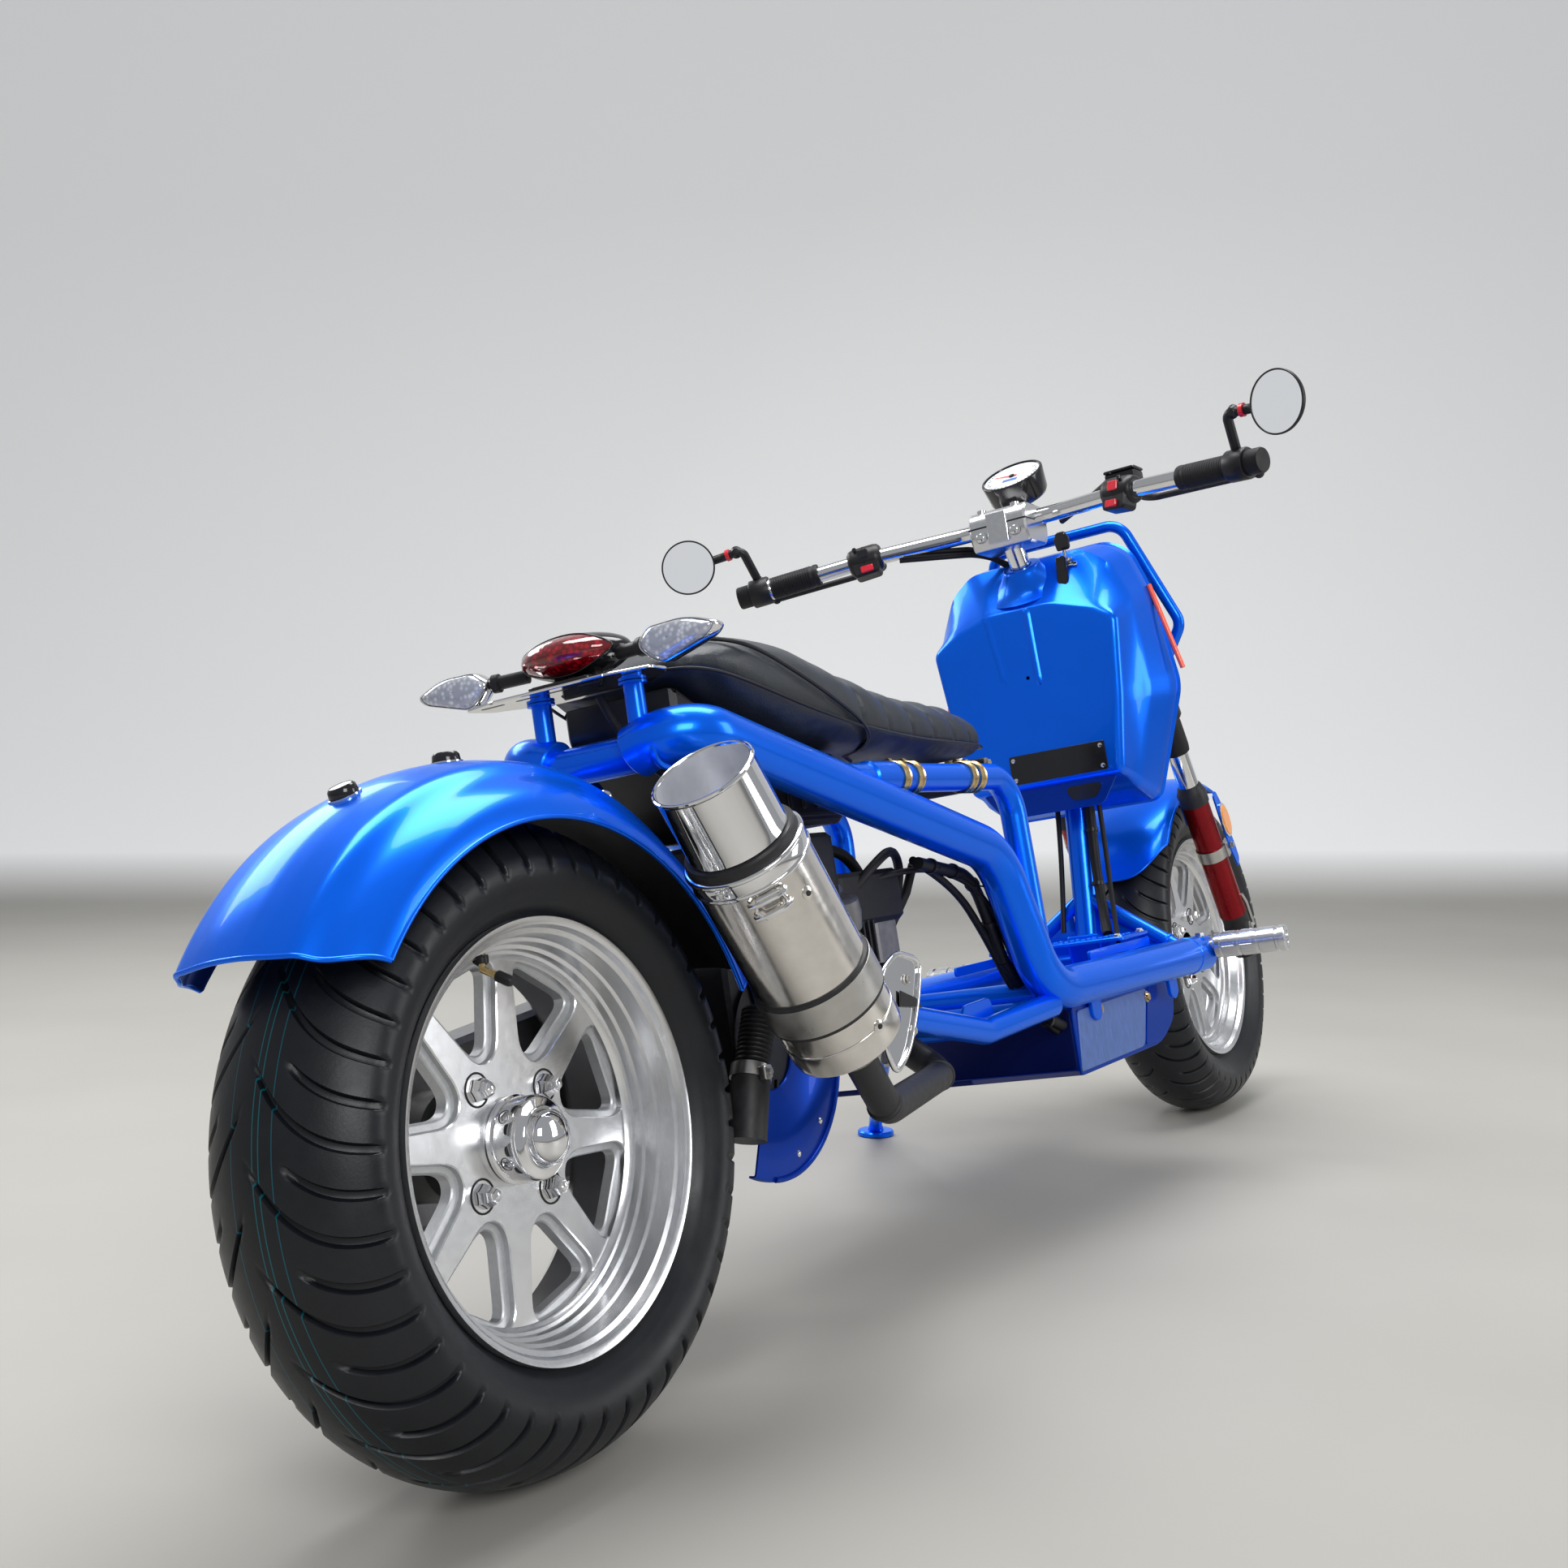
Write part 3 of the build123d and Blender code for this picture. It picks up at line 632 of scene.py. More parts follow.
# %% Rear and front tyre
def tread_tyre(size, centre, grooves, sweep, width, depth, long_from, short_from):
    """Groove k sits at angle 2 pi k / n, swept by sweep (1 - |y|/a)^2 of arc towards the middle."""
    R, h, c, lip, lip_y = (size[k] for k in ("radius", "half", "crown", "lip", "lip_y"))
    edge = 0.93 * h
    y = np.linspace(-edge, edge, 49)
    crown = np.stack([y, R - c + np.sqrt(c * c - y * y)], -1)
    low = crown[0, 1]
    t = np.linspace(0, 1, 15)[1:, None]
    wall = ((1 - t) ** 2 * [edge, low] + 2 * t * (1 - t) * [h * 1.085, low - 19] + t ** 2 * [lip_y - 5, lip + 1.5])
    ridge = 1.1 * np.exp(-((wall[:, 1:] - lip - 9) / 2.0) ** 2) + 0.7 * np.exp(-((wall[:, 1:] - low
        + 22) / 1.2) ** 2)
    wall = wall + ridge * [1, 0]
    bead = np.array([[lip_y - 7, lip - 1], [lip_y - 8, lip - 8]])
    right = np.concatenate([wall, bead])
    section = np.concatenate([right[::-1] * [-1, 1], crown, right])
    run = unit(np.gradient(section, axis=0))
    inward = np.stack([run[:, 1], -run[:, 0]], -1)
    pitch = 2 * pi / (2 * grooves)
    near = np.array([-1.0, -0.78, -0.55, 0, 0.55, 0.78, 1.0]) * width * 0.7 / R
    far = np.linspace(near[-1], pitch + near[0], 7)[1:-1]
    local = np.concatenate([near, far])
    cut = np.concatenate([[0, 0.25, 0.92, 1, 0.92, 0.25, 0], np.zeros(5)])
    phi = (np.arange(2 * grooves)[:, None] * pitch + local[None]).ravel()
    groove = np.tile(cut, 2 * grooves)[:, None]
    odd = np.repeat(np.arange(2 * grooves) % 2, len(local))[:, None]
    yy, rr = section[None, :, 0], section[None, :, 1]
    is_long = np.where(yy < 0, odd == 0, odd == 1)
    start = np.where(is_long, long_from, short_from)
    rise = np.clip((np.abs(yy) - start) / 7, 0, 1)
    fade = np.clip((rr - (low - 13)) / 9, 0, 1)
    d = depth * groove * rise * rise * (3 - 2 * rise) * fade
    swept = phi[:, None] - sweep / R * (1 - np.minimum(np.abs(yy) / (edge * 1.1), 1)) ** 2
    y3, r3 = yy + inward[None, :, 0] * d, rr + inward[None, :, 1] * d
    points = np.stack([r3 * np.cos(swept), y3, r3 * np.sin(swept)], -1) + centre
    across = np.broadcast_to(yy, d.shape)
    return grid(points, close_u=True), across


part, across = tread_tyre(REAR, REAR_AXLE, 23, 70, 6.4, 5.0, 4, 30)
piece("rear_tyre_tread", [part], [rear_rubber], "rear_wheel", ["rear_tyre"], sharp=50, tidy=False,
    attributes={"across": across})
part, across = tread_tyre(FRONT, FRONT_AXLE, 26, 46, 5.2, 4.4, 3, 24)
piece("front_tyre_tread", [part], [front_rubber], "front_wheel", ["front_tyre"], sharp=50, tidy=False,
    attributes={"across": across})

# %% [markdown]
# ## Wheels
# The spokes are what is left between eight windows. Each eighth of the disc is a ring of quads
# between a window's outline and the edge of its sector, so the hole costs no boolean. The
# window's edge goes down in two steps, as a cutter would leave it.

# %% Machined rims
def spoke_disc(face, back_at, outer, turn):
    """Eight sectors; rays from the window's middle meet its outline and the sector's border."""
    middle = 101.0
    o = rounded([(71, -8), (131, -37), (131, 37), (71, 8)], [12, 15, 15, 12], 5, closed=True)
    o = np.concatenate([o[k] + (o[(k + 1) % len(o)] - o[k]) * np.array([[0], [0.5]]) for k in range(len(o))])
    corner = [(rad * cos(a), rad * sin(a)) for rad in (24, outer) for a in (-pi / 8, pi / 8)]
    ang = np.arctan2(o[:, 1], o[:, 0] - middle)
    dist = np.hypot(o[:, 1], o[:, 0] - middle)
    every = np.sort(np.unique(np.round(np.concatenate([ang, [atan2(q[1], q[0] - middle) for q in corner]]), 6)))
    order = np.argsort(ang)
    d = np.interp(every, ang[order], dist[order], period=2 * pi)
    ray = np.stack([np.cos(every), np.sin(every)], -1)
    outline = ray * d[:, None] + [middle, 0]
    tangent = unit(np.roll(outline, -1, 0) - np.roll(outline, 1, 0))
    outward = np.stack([tangent[:, 1], -tangent[:, 0]], -1)
    reach = np.full(len(every), 1e9)
    for s in (-1, 1):
        nx, ny = -sin(pi / 8), s * cos(pi / 8)
        k = ray[:, 0] * nx + ray[:, 1] * ny
        reach = np.where(k > 1e-9, np.minimum(reach, -(middle * nx) / np.where(k > 1e-9, k, 1)), reach)
    b = ray[:, 0] * middle
    far = -b + np.sqrt(b * b - middle ** 2 + outer ** 2)
    inner = b * b - middle ** 2 + 24.0 ** 2
    near = np.where((inner > 0) & (b < 0), -b - np.sqrt(np.maximum(inner, 0)), 1e9)
    border = ray * np.minimum(np.minimum(reach, far), near)[:, None] + [middle, 0]
    rings = [(None, 0), (7.6, 0), (6.6, 0.9), (6.2, 5.2), (1.6, 6.4), (0.4, 7.6), (0, back_at - face - 1),
        (1.2, back_at - face), (None, back_at - face)]
    flat = np.stack([border if off is None else outline + outward * off for off, _ in rings])
    depth = np.array([down for _, down in rings])
    parts = []
    for k in range(8):
        a = radians(22.5 + 45 * k + turn)
        x = flat[..., 0] * cos(a) - flat[..., 1] * sin(a)
        z = flat[..., 0] * sin(a) + flat[..., 1] * cos(a)
        y = np.broadcast_to((face + depth)[:, None], x.shape)
        g = grid(np.stack([x, y, z], -1), close_v=True)
        g[3] = np.repeat([0, 0, 1, 1, 1, 1, 1, 0], x.shape[1])
        parts.append(g)
    return parts


def wheel(size, centre, face, thick, turn):
    """Stepped lip and barrel on the lathe, the spoke disc, and lug nuts at 55 mm."""
    lip, w = size["lip"], size["lip_y"]
    y = [-w, -w + 5.5, -w + 6.5, w - 6.5, w - 5.5, w, w, w - 3, w - 12, w - 16, face + thick + 8, face + thick,
        face, face - 2, face - 5, face - 6, face - 12, face - 13.5, face - 24, face - 25.5, -w + 9, -w + 7.5,
        -w + 2.2, -w + 0.6]
    r = [lip - 1, lip, lip - 7, lip - 7, lip, lip - 1, lip - 6, lip - 8.5, lip - 16, lip - 19, 146, 137, 137, 139.5,
        141, 143.4, 144.4, 147.4, 148.6, 151.4, 153.2, 157.2, 159.2, 161.5]
    keep = [k for k in range(len(y)) if not (14 <= k <= 19 and y[k] < -w + 9.5)]
    profile = np.stack([np.array(y)[keep], np.array(r)[keep]], -1)
    parts = [lathe(profile, centre, (0, 1, 0), 144, closed=True)]
    parts += placed(spoke_disc(face, face + thick, 140.5, turn), centre)
    for k in range(4):
        a = radians(45 + 90 * k + turn)
        at = centre + [55 * cos(a), face, 55 * sin(a)]
        parts.append(lathe([(0.4, 0), (0.4, 11.6), (-0.5, 11.9), (-0.9, 12.6), (-0.5, 13.4), (0.4, 13.6)], at,
            (0, 1, 0), 32, 2))
        parts.append(lathe([(-0.2, 0), (-0.2, 9.6), (-4, 9.4), (-11, 6.6), (-14.5, 4.8), (-16, 2.6), (-16.4, 0)],
            at, (0, 1, 0), 6, 3, ref=(cos(a + 0.4), 0, sin(a + 0.4))))
    return parts


TURN = -6.7
hub = [lathe([(-14, 31), (-15, 33.5), (-19, 33.8), (-20, 31.6), (-22, 31.6), (-23, 32.4), (-38, 32.4), (-41, 31),
    (-42, 29), (-42.4, 24), (-43.5, 22.5), (-46, 21.6), (-50, 21), (-54, 18.4), (-57, 13.4), (-58.6, 6.5),
    (-59, 0)], REAR_AXLE, (0, 1, 0), 64, 3), lathe([(4, 30), (40, 30), (44, 44), (88, 44), (91, 40), (91, 0)],
    REAR_AXLE, (0, 1, 0), 48, 2)]
valve_at = REAR_AXLE + [-18, -22, 131]
stem = [pipe(vec(valve_at + [4, 4, 12], valve_at, valve_at + [2, -12, -6]), 3.1, 14, 4),
    lathe([(0, 0), (0, 5.4), (1, 5.8), (6, 5.6), (8, 3.2), (8, 0)], valve_at + [3, 3, 11], (0, 0, -1), 20, 2),
    lathe([(0, 0), (0, 3.9), (1, 4.5), (12, 4.5), (14, 3.6), (14.4, 0)], valve_at + [2, -11, -5.6],
    (0.16, -0.86, -0.48), 18, 2)]
piece("rear_wheel_rim", wheel(REAR, REAR_AXLE, -14, 18, TURN) + stem, [machined, cast, black, chrome, brass],
    "rear_wheel", ["rear_rim"], sharp=30)
piece("rear_wheel_hub", hub, [machined, cast, black_metal, chrome], "rear_wheel", ["rear_hub"])
piece("front_wheel_rim", wheel(FRONT, FRONT_AXLE, -12, 16, 12.0), [machined, cast, black, chrome], "front_wheel",
    ["front_rim"], sharp=30)

disc = [lathe([(52, 28), (52, 94), (52.6, 95), (56.4, 95), (57, 94), (57, 28)], FRONT_AXLE, (0, 1, 0), 96,
    closed=True), lathe([(5, 10), (5, 27), (50, 27), (50, 52), (52, 52), (58, 46), (58, 10)], FRONT_AXLE, (0, 1, 0),
    48, 1, closed=True)]
for k in range(24):
    rad, a = (64, 74, 84)[k % 3], k * pi / 12
    at = FRONT_AXLE + [rad * cos(a), 57, rad * sin(a)]
    disc.append(lathe([(0.15, 0), (0.15, 3.6), (-1, 3.6)], at, (0, 1, 0), 14, 2))
piece("front_brake_disc", disc, [steel, alloy, black], "front_wheel", ["front_disc"])

# %% [markdown]
# ## Silencer, header pipe and fan guard
# The silencer is six short cylinders of sheet on one line, each with its own radius. Its rims
# are rolled, so every edge in the profile has a small round.

# %% Silencer
LOW, HIGH = vec(268, -162, 276), vec(106, -162, 507)
DOWN = unit(LOW - HIGH)


def ring_bead(s, r, high, half):
    """A small round rib on a lathe profile."""
    a = np.linspace(0, pi, 7)
    return [(s - half * cos(t), r + high * sin(t)) for t in a]


tip = [(60, 0), (60, 36), (58, 40), (10, 40.6), (1.6, 41), (0.2, 42), (0, 43), (0.6, 44.2), (2, 44.6), (3.4, 44),
    (4.2, 43.2), (58, 43.4), (64, 44), (66, 42)]
inside = [(59.5, 0), (59.5, 35), (57.5, 39.8), (10, 40.3), (2, 40.7)]
gap = [(65, 42), (65.5, 47.5), (67, 48.6), (71, 48.6), (73, 49.5), (74, 49)]
collar = [(73, 46), (73.6, 50.5)] + ring_bead(76, 51, 1.7, 2.2) + [(80, 51.4), (86, 51.4)] + ring_bead(90, 51, 1.2,
    1.8) + [(92.4, 50.4)]
sleeve = [(92, 50.3), (203, 50.3)]
band_dark = [(201.5, 50.2), (202, 52.6), (204.4, 53.2), (204.8, 52.8), (234.6, 52.8), (235, 53.2), (237.4, 52.6),
    (238, 50.2)]
band = [(204.6, 52.0), (205, 53.4), (234, 53.4), (234.4, 52.0)]
lower_can = [(237, 50.3), (256, 50.3)] + ring_bead(258, 50.2, 0.8, 1.1) + [(260, 50.3), (276, 50.3), (280, 49.4),
    (282, 47), (282.5, 30), (282.5, 0)]
can = [lathe(np.array(p), HIGH, DOWN, 96, s) for p, s in ((tip, 0), (inside, 1), (gap, 2), (collar, 0), (sleeve, 3),
    (band_dark, 2), (band, 4), (lower_can, 3))]
ahead_can = unit(np.cross(DOWN, [0, 1, 0]))
for s, a, rad in ((104, -0.95, 50.3), (246, -0.95, 50.3), (104, 0.7, 50.3)):
    out = ahead_can * sin(a + 0.6) + vec(0, -1, 0) * cos(a + 0.6)
    at = HIGH + DOWN * (s + 12) + out * rad
    can.append(lathe([(-1, 0), (-1, 5.6), (0.6, 5.4), (1.2, 4), (1.2, 0)], at, out, 20, 3))
    can.append(lathe([(1, 0), (1, 2.6), (2, 2.2), (2.4, 0)], at, out, 16, 2))
behind = -ahead_can
seam_out = unit(behind * 0.82 + vec(0, -0.57, 0))
side_can = np.cross(DOWN, seam_out)
can.append(slab(box(96, -4.5, 201, 4.5), HIGH + seam_out * 49.4, DOWN, side_can, 0, 1.8, 0.6))
for s in (97, 109):
    can.append(pipe(HIGH + DOWN * s + seam_out * 50 + np.array([side_can * w + seam_out * h
        for w, h in ((-16, 0), (-15, 5), (-8, 7.5), (8, 7.5), (15, 5), (16, 0))]), 1.9, 10, ref=DOWN))
can.append(pipe(HIGH + DOWN * 103 + seam_out * 55 + np.array([DOWN * a + side_can * b
    for a, b in ((-9, -10), (-9, 8), (0, 13), (9, 8), (9, -10), (0, -13), (-9, -10))]), 1.6, 10, ref=seam_out))
mouth_metal = finish("silencer_mouth", (0.66, 0.67, 0.70), 0.6, (0.28, 0.4), 60, 0.08)
piece("silencer_can", can, [chrome, mouth_metal, black_metal, polished, steel], "chassis", ["muffler"],
    sharp=34)

# %% Header pipe, heat shield and fan guard
path = bent([LOW - DOWN * 3, (352, -142, 203), (560, -95, 206), (566, -40, 246)], [34, 30], 7)
weld = [pipe(bent([LOW - DOWN * 3, (352, -142, 203), (560, -95, 206), (566, -40, 246)], [34, 30]), 15, 24)]
for k in (2, len(path) // 2):
    weld.append(lathe([(-3, 14.6), (-2, 16.3), (0, 17), (2, 16.3), (3, 14.6)], path[k],
        unit(path[k + 1] - path[k - 1]), 28))
weld.append(lathe([(-2, 14), (-2, 27), (4, 27), (4, 14)], (566, -44, 243), (0, 0.8, 0.6), 30, 1))
weld.append(lathe([(0, 15), (0, 25), (5, 28), (14, 24), (18, 17)], LOW + DOWN * 3, DOWN, 30, 1))
piece("header_pipe_bends", weld, [black_metal, steel], "chassis", ["header_pipe"])

leaf = rounded([(314, 262), (326, 324), (362, 340), (405, 328), (384, 286), (356, 250), (328, 236)],
    [14, 16, 14, 14, 18, 16, 10], 6, closed=True)
rim_line = np.stack([leaf[:, 0], np.full(len(leaf), -170.0), leaf[:, 1]], -1)
shield_parts = [plate("side", leaf, None, 0, 2.2, 0.8, at=(0, -167, 0)),
    pipe(np.concatenate([rim_line, rim_line[:1]]), 2.6, 10), slab([(0, 0), (34, -3), (40, 12), (2, 14)],
    (352, -168, 318), (0.25, 0.95, 0.15), (-0.2, 0, 1), 0, 2.4, 0.6), plate("side",
    [(352, 292), (392, 286), (384, 296), (356, 306)], None, 0, 1.2, 0.4, 1, at=(0, -170.5, 0))]
shield_parts += bolts([(372, -169, 268), (374, -169, 314)], (0, -1, 0), 4, 3, 2)
piece("hanger_leaf", shield_parts, [chrome, black, steel], "chassis", ["hanger_shield"])

CRANK = vec(328, 0, 272)
guard_arc = np.radians(np.linspace(-116, 104, 90))
turned_by = np.stack([np.cos(guard_arc), np.zeros(90), np.sin(guard_arc)], -1)
rows = []
for rad, y_ in ((40, -36), (39.4, -41.6), (40.4, -43), (78, -43), (80, -44), (119, -44), (121.4, -42.8), (122, -40),
        (121.6, -36)):
    q = CRANK + turned_by * rad
    far = np.hypot(q[:, 0], q[:, 2] - 250)
    push = np.maximum(263 / far, 1)
    rows.append(np.stack([q[:, 0] * push, np.full(90, float(y_)), 250 + (q[:, 2] - 250) * push], -1))
# The fan guard takes the darker copy of the blue: painted shade.
guard = [shell(np.stack(rows), 2.0, 0)]
guard += [pipe((CRANK + turned_by * 120 + [0, -44, 0])[6:-6], 2.6, 12)]
for t in np.radians(range(-78, 91, 28)):
    at = CRANK + [105 * cos(t), -44, 105 * sin(t)]
    if hypot(at[0], at[2] - 250) > 275:
        guard.append(lathe([(0, 0), (0, 3.4), (0.8, 3.2), (1.6, 2), (1.8, 0)], at, (0, -1, 0), 14, 1))
piece("fan_guard_disc", guard, [shade_painted_blue, machined], "chassis", ["fan_guard"])

# %% [markdown]
# ## Painted tubes
# A bent tube is a circle carried along straight runs and true arcs. Where a tube meets another,
# a weld leaves a low rounded bead, and a lathe profile one bead high draws it.

# %% Frame tubes and seat rails
def weld_ring(at, toward, radius, slot=0, high=2.2, half=3.2):
    """A low bead round a tube."""
    return lathe([(-half, radius - 1), (-half * 0.6, radius + high * 0.7), (0, radius + high),
        (half * 0.6, radius + high * 0.7), (half, radius - 1)], at, toward, 40, slot)


def along(path, share):
    """A point and direction at a share of a path's length."""
    d = np.concatenate([[0], np.cumsum(np.linalg.norm(np.diff(path, axis=0), axis=1))])
    s = share * d[-1]
    k = min(int(np.searchsorted(d, s, side="right")) - 1, len(path) - 2)
    w = (s - d[k]) / (d[k + 1] - d[k])
    return path[k] * (1 - w) + path[k + 1] * w, unit(path[k + 1] - path[k])


def cap_end(at, toward, radius, slot=0):
    """A shallow domed plug."""
    return lathe([(-4, radius - 0.6), (0, radius - 0.4), (1.6, radius - 1.6), (2.4, radius - 5), (2.6, 0)], at,
        toward, 36, slot)


MAIN = bent([(246, -97.6, 546.5), (720, -116, 421), (790, -121, 259), (1262, -143, 254)], [80, 80], 4)
ELBOW = bent([(189, -44, 545), (190, -95.5, 561), (262, -98.3, 542.3)], [42], 5)
main_parts = [pipe(MAIN, 24, 40), pipe(ELBOW, 24, 40, ref=(0.2, 0, 1)), cap_end(ELBOW[0], ELBOW[0] - ELBOW[1], 24),
    cap_end(MAIN[-1], MAIN[-1] - MAIN[-2], 24)]
q, w = along(MAIN, 0.955)
main_parts.append(weld_ring(q, w, 24, high=1.0))
lug = [slab(rounded([(0, -15), (26, -15), (34, 0), (26, 15), (0, 15)], 6, closed=True), (x, -108 - k, z),
    (0.1, 0, -1), (1, 0, 0.05), -2.5, 2.5, 0.8) for x, k, z in ((948, 2, 240), (1190, 14, 236))]
piece("frame_tube_right", main_parts + lug, [blue], "chassis", ["frame_right"])
piece("frame_tube_left", mirrored(main_parts + lug), [blue], "chassis", ["frame_left"])

RAIL = bent([(400, -106, 508), (796, -112, 504), (792, -118, 285)], [45], 6)
rail_parts = [pipe(RAIL, 15, 30)]
for share in (0.22, 0.27, 0.475, 0.51):
    q, w = along(RAIL, share)
    rail_parts.append(lathe([(-6.5, 14.8), (-6.5, 16.9), (-5.6, 17.6), (-4.6, 16.4), (4.6, 16.4), (5.6, 17.6),
        (6.5, 16.9), (6.5, 14.8)], q, w, 40, 1))
    rail_parts.append(lathe([(-3, 0), (-3, 3.4), (3, 3.4), (3, 0)], q + [0, 4, 17.5], (1, 0, 0), 14, 1))
    rail_parts.append(lathe([(-5, 0), (-5, 3.8), (5, 3.8), (5, 0)], q + [0, 12, 16.5], (0, 1, 0), 6, 1))
q, w = along(RAIL, 0.02)
rail_parts += [weld_ring(q, w, 15, high=1.4), weld_ring(RAIL[-1] + [0, 0, 3], (0, 0, 1), 15, high=1.4)]
rail_parts.append(lathe([(-24, 14.9), (-22, 17.2), (22, 17.2), (24, 14.9)], along(RAIL, 0.16)[0], w, 36))
piece("seat_rail_tube_right", rail_parts, [blue, brass], "chassis", ["seat_rail_right"])
piece("seat_rail_tube_left", mirrored(rail_parts), [blue, brass], "chassis", ["seat_rail_left"])

bridge = [cross_tube(188, 543, 74, 17, 32)]
for s in (-1, 1):
    bridge += [weld_ring((188, s * 73, 543), (0, 1, 0), 17), pipe([(188, s * 51, z) for z in (556, 590, 604.6)], 9,
        28, ref=(1, 0, 0)), weld_ring((188, s * 51, 560.5), (0, 0, 1), 9, high=1.8),
        lathe([(0, 8), (0, 12.5), (2.4, 12.5), (2.4, 8)], (188, s * 51, 602.2), (0, 0, 1), 30)]
piece("rear_bridge_tube", bridge, [blue], "chassis", ["rear_bridge"])

# %% [markdown]
# The lower half of the frame carries the floor. The head tube stands at the steering angle,
# and one down tube and two braces tie it to the cross tube between the foot pegs.

# %% Head tube, braces and lower frame
HEAD = fork(455, 0, -OFFSET)
head_parts = [lathe([(0, 19), (0, 28), (3, 29), (14, 29), (17, 26), (178, 26), (181, 29), (192, 29), (195, 28),
    (195, 19)], HEAD, UP_FORK, 44, closed=True)]
DOWN_TUBE = bent([fork(500, 0, -OFFSET - 10), (1276, 0, 492), (1238, 0, 290)], [90], 6)
head_parts += [pipe(DOWN_TUBE, 18, 32), weld_ring(DOWN_TUBE[-1] + [0, 0, 3], (0.15, 0, 1), 18),
    cross_tube(1238, 262, 130, 14, 28)]
for s in (-1, 1):
    head_parts += [pipe([(1240, s * 120, 268), (1243, s * 60, 310), (1246, 0, 352)], 10, 24, ref=(1, 0, 0)),
        weld_ring((1241, s * 108, 276), (0.03, -s * 0.8, 0.55), 10), slab(rounded([(20, 0), (112, 0), (20, 70)],
        [5, 14, 14], closed=True), (1243, 0, 266), (0, s, 0), (0, 0, 1), -2, 2, 0.7)]
head_parts += [brick((1214, -24, 252), (1262, 24, 300), 5, 2), slab(rounded([(0, 0), (64, 10), (52, 62), (0, 96)],
    10, closed=True), (1292, 0, 470), (-1, 0, 0.1), (0, 0, 1), -2.2, 2.2, 0.8)]
piece("head_tube_frame", head_parts, [blue], "chassis", ["head_frame"])

lower_parts = []
for s in (-1, 1):
    tube_path = bent([(796, s * 121, 244), (640, s * 110, 236), (476, s * 108, 271)], [60], 5)
    lower_parts += [pipe(tube_path, 14, 28), cap_end(tube_path[-1], tube_path[-1] - tube_path[-2], 14),
        cap_end(tube_path[0], tube_path[0] - tube_path[1], 14)]
for x, z, rad in ((600, 245, 11), (770, 242, 11), (800, 258, 14)):
    wide = 112 if rad == 11 else 118
    lower_parts.append(cross_tube(x, z, wide, rad))
    lower_parts += [weld_ring((x, s * (wide - 10), z), (0, 1, 0), rad) for s in (-1, 1)]
lower_parts += [plate("side", [(610, 236), (700, 238), (690, 268), (626, 266)], 8, -2, 2, 0.7, at=(0, y, 0))
    for y in (-96, 96)]
piece("lower_frame_tubes", lower_parts, [blue], "chassis", ["lower_frame"])

# %% [markdown]
# ## Sheet metal
# A pressed panel is one surface with a second one behind it, the thickness of the steel away.
# The shell tool takes the outer grid, finds the normals by differences, and stitches the rim.

# %% Fenders
def smooth(values, passes=2):
    """Each value takes the mean of itself and its neighbours."""
    v = np.asarray(values, float)
    for _ in range(passes):
        v = np.concatenate([v[:1], (v[:-2] + 2 * v[1:-1] + v[2:]) / 4, v[-1:]])
    return v


def fender(centre, outline, low_angle, high_angle, nu=90, nv=97):
    """A section (y, radius) spun from low_angle(y) to high_angle(y), in degrees from straight ahead."""
    outline = np.asarray(outline, float)
    d = np.concatenate([[0], np.cumsum(np.linalg.norm(np.diff(outline, axis=0), axis=1))])
    s = np.linspace(0, d[-1], nv)
    y, r = (smooth(np.interp(s, d, outline[:, k]), 3) for k in (0, 1))
    a0, a1 = np.radians(low_angle(y)), np.radians(high_angle(y))
    w = np.linspace(0, 1, nu)[:, None]
    a = a0 * (1 - w) + a1 * w
    return np.stack([centre[0] + r * np.cos(a), np.broadcast_to(y, a.shape), centre[2] + r * np.sin(a)], -1)


def rolled_edges(skin, centre, inset, radius):
    """A thin roll along the four edges of a fender, set in towards the axle."""
    m = skin.shape[1] // 2
    edges = ((skin[:, 1], (0, 1, 0)), (skin[:, -2], (0, 1, 0)), (skin[-1, 1:-1], skin[-2, m] - skin[-1, m]),
        (skin[0, 1:-1], skin[1, m] - skin[0, m]))
    return [pipe(edge + unit(centre - edge) * inset, radius, 10, ref=ref) for edge, ref in edges]


half = [(94, 235.5), (93, 241), (90, 250), (84, 259), (77, 265.6), (69, 271.2), (65, 275.4), (61, 281.8), (57, 285),
    (50, 286.6), (44, 287.8), (30, 290.6), (15, 292.6)]
rear_outline = [(-y, r) for y, r in half] + [(0, 293)] + half[::-1]
skin = fender(REAR_AXLE, rear_outline, lambda y: np.where(y < -84, 20.0,
    np.where(y < -62, 20 + (y + 84) / 22 * 27.5, 47.5)), lambda y: 146 - 4.5 * (np.abs(y) / 94) ** 6)
# The fender's underside takes the darker copy of the blue: painted shade.
fender_parts = [shell(skin[::-1], 2.6, 0, 1)] + rolled_edges(skin, REAR_AXLE, 1.4, 2.0)
# A black sheet inside the front of the fender, between tyre and engine: it stands in for the shade in that gap,
# painted shade.
inner = [(84, 255), (77, 262), (70, 268), (60, 275), (44, 281), (24, 285), (0, 287)]
shade_sheet_skin = fender(REAR_AXLE, [(-y, r) for y, r in inner] + [(y, r) for y, r in inner[-2::-1]],
    lambda y: 21 + 0 * y, lambda y: 64 + 0 * y, 40, 31)
fender_parts.append(shell(shade_sheet_skin, 1.6, 4, 4))
for x, y, z in ((-2, 0, 542.5), (-114, 0, 519.5)):
    up = unit(vec(x, 0, z) - REAR_AXLE)
    fender_parts.append(lathe([(0, 0), (0, 11), (2.2, 11.4), (7, 10.8), (9, 9), (9.6, 5), (9.7, 0)], (x, y, z), up,
        30, 2))
    fender_parts.append(lathe([(0, 10), (0, 13), (1.6, 13), (1.8, 10)], (x, y, z), up, 30, 3))
fender_parts += bolt((140, -40, 507), unit(vec(140, -40, 257)), 5, 4, 3)
piece("rear_fender_pressing", fender_parts, [blue, shade_painted_blue, gloss_black, chrome, black], "chassis",
    ["rear_fender"])

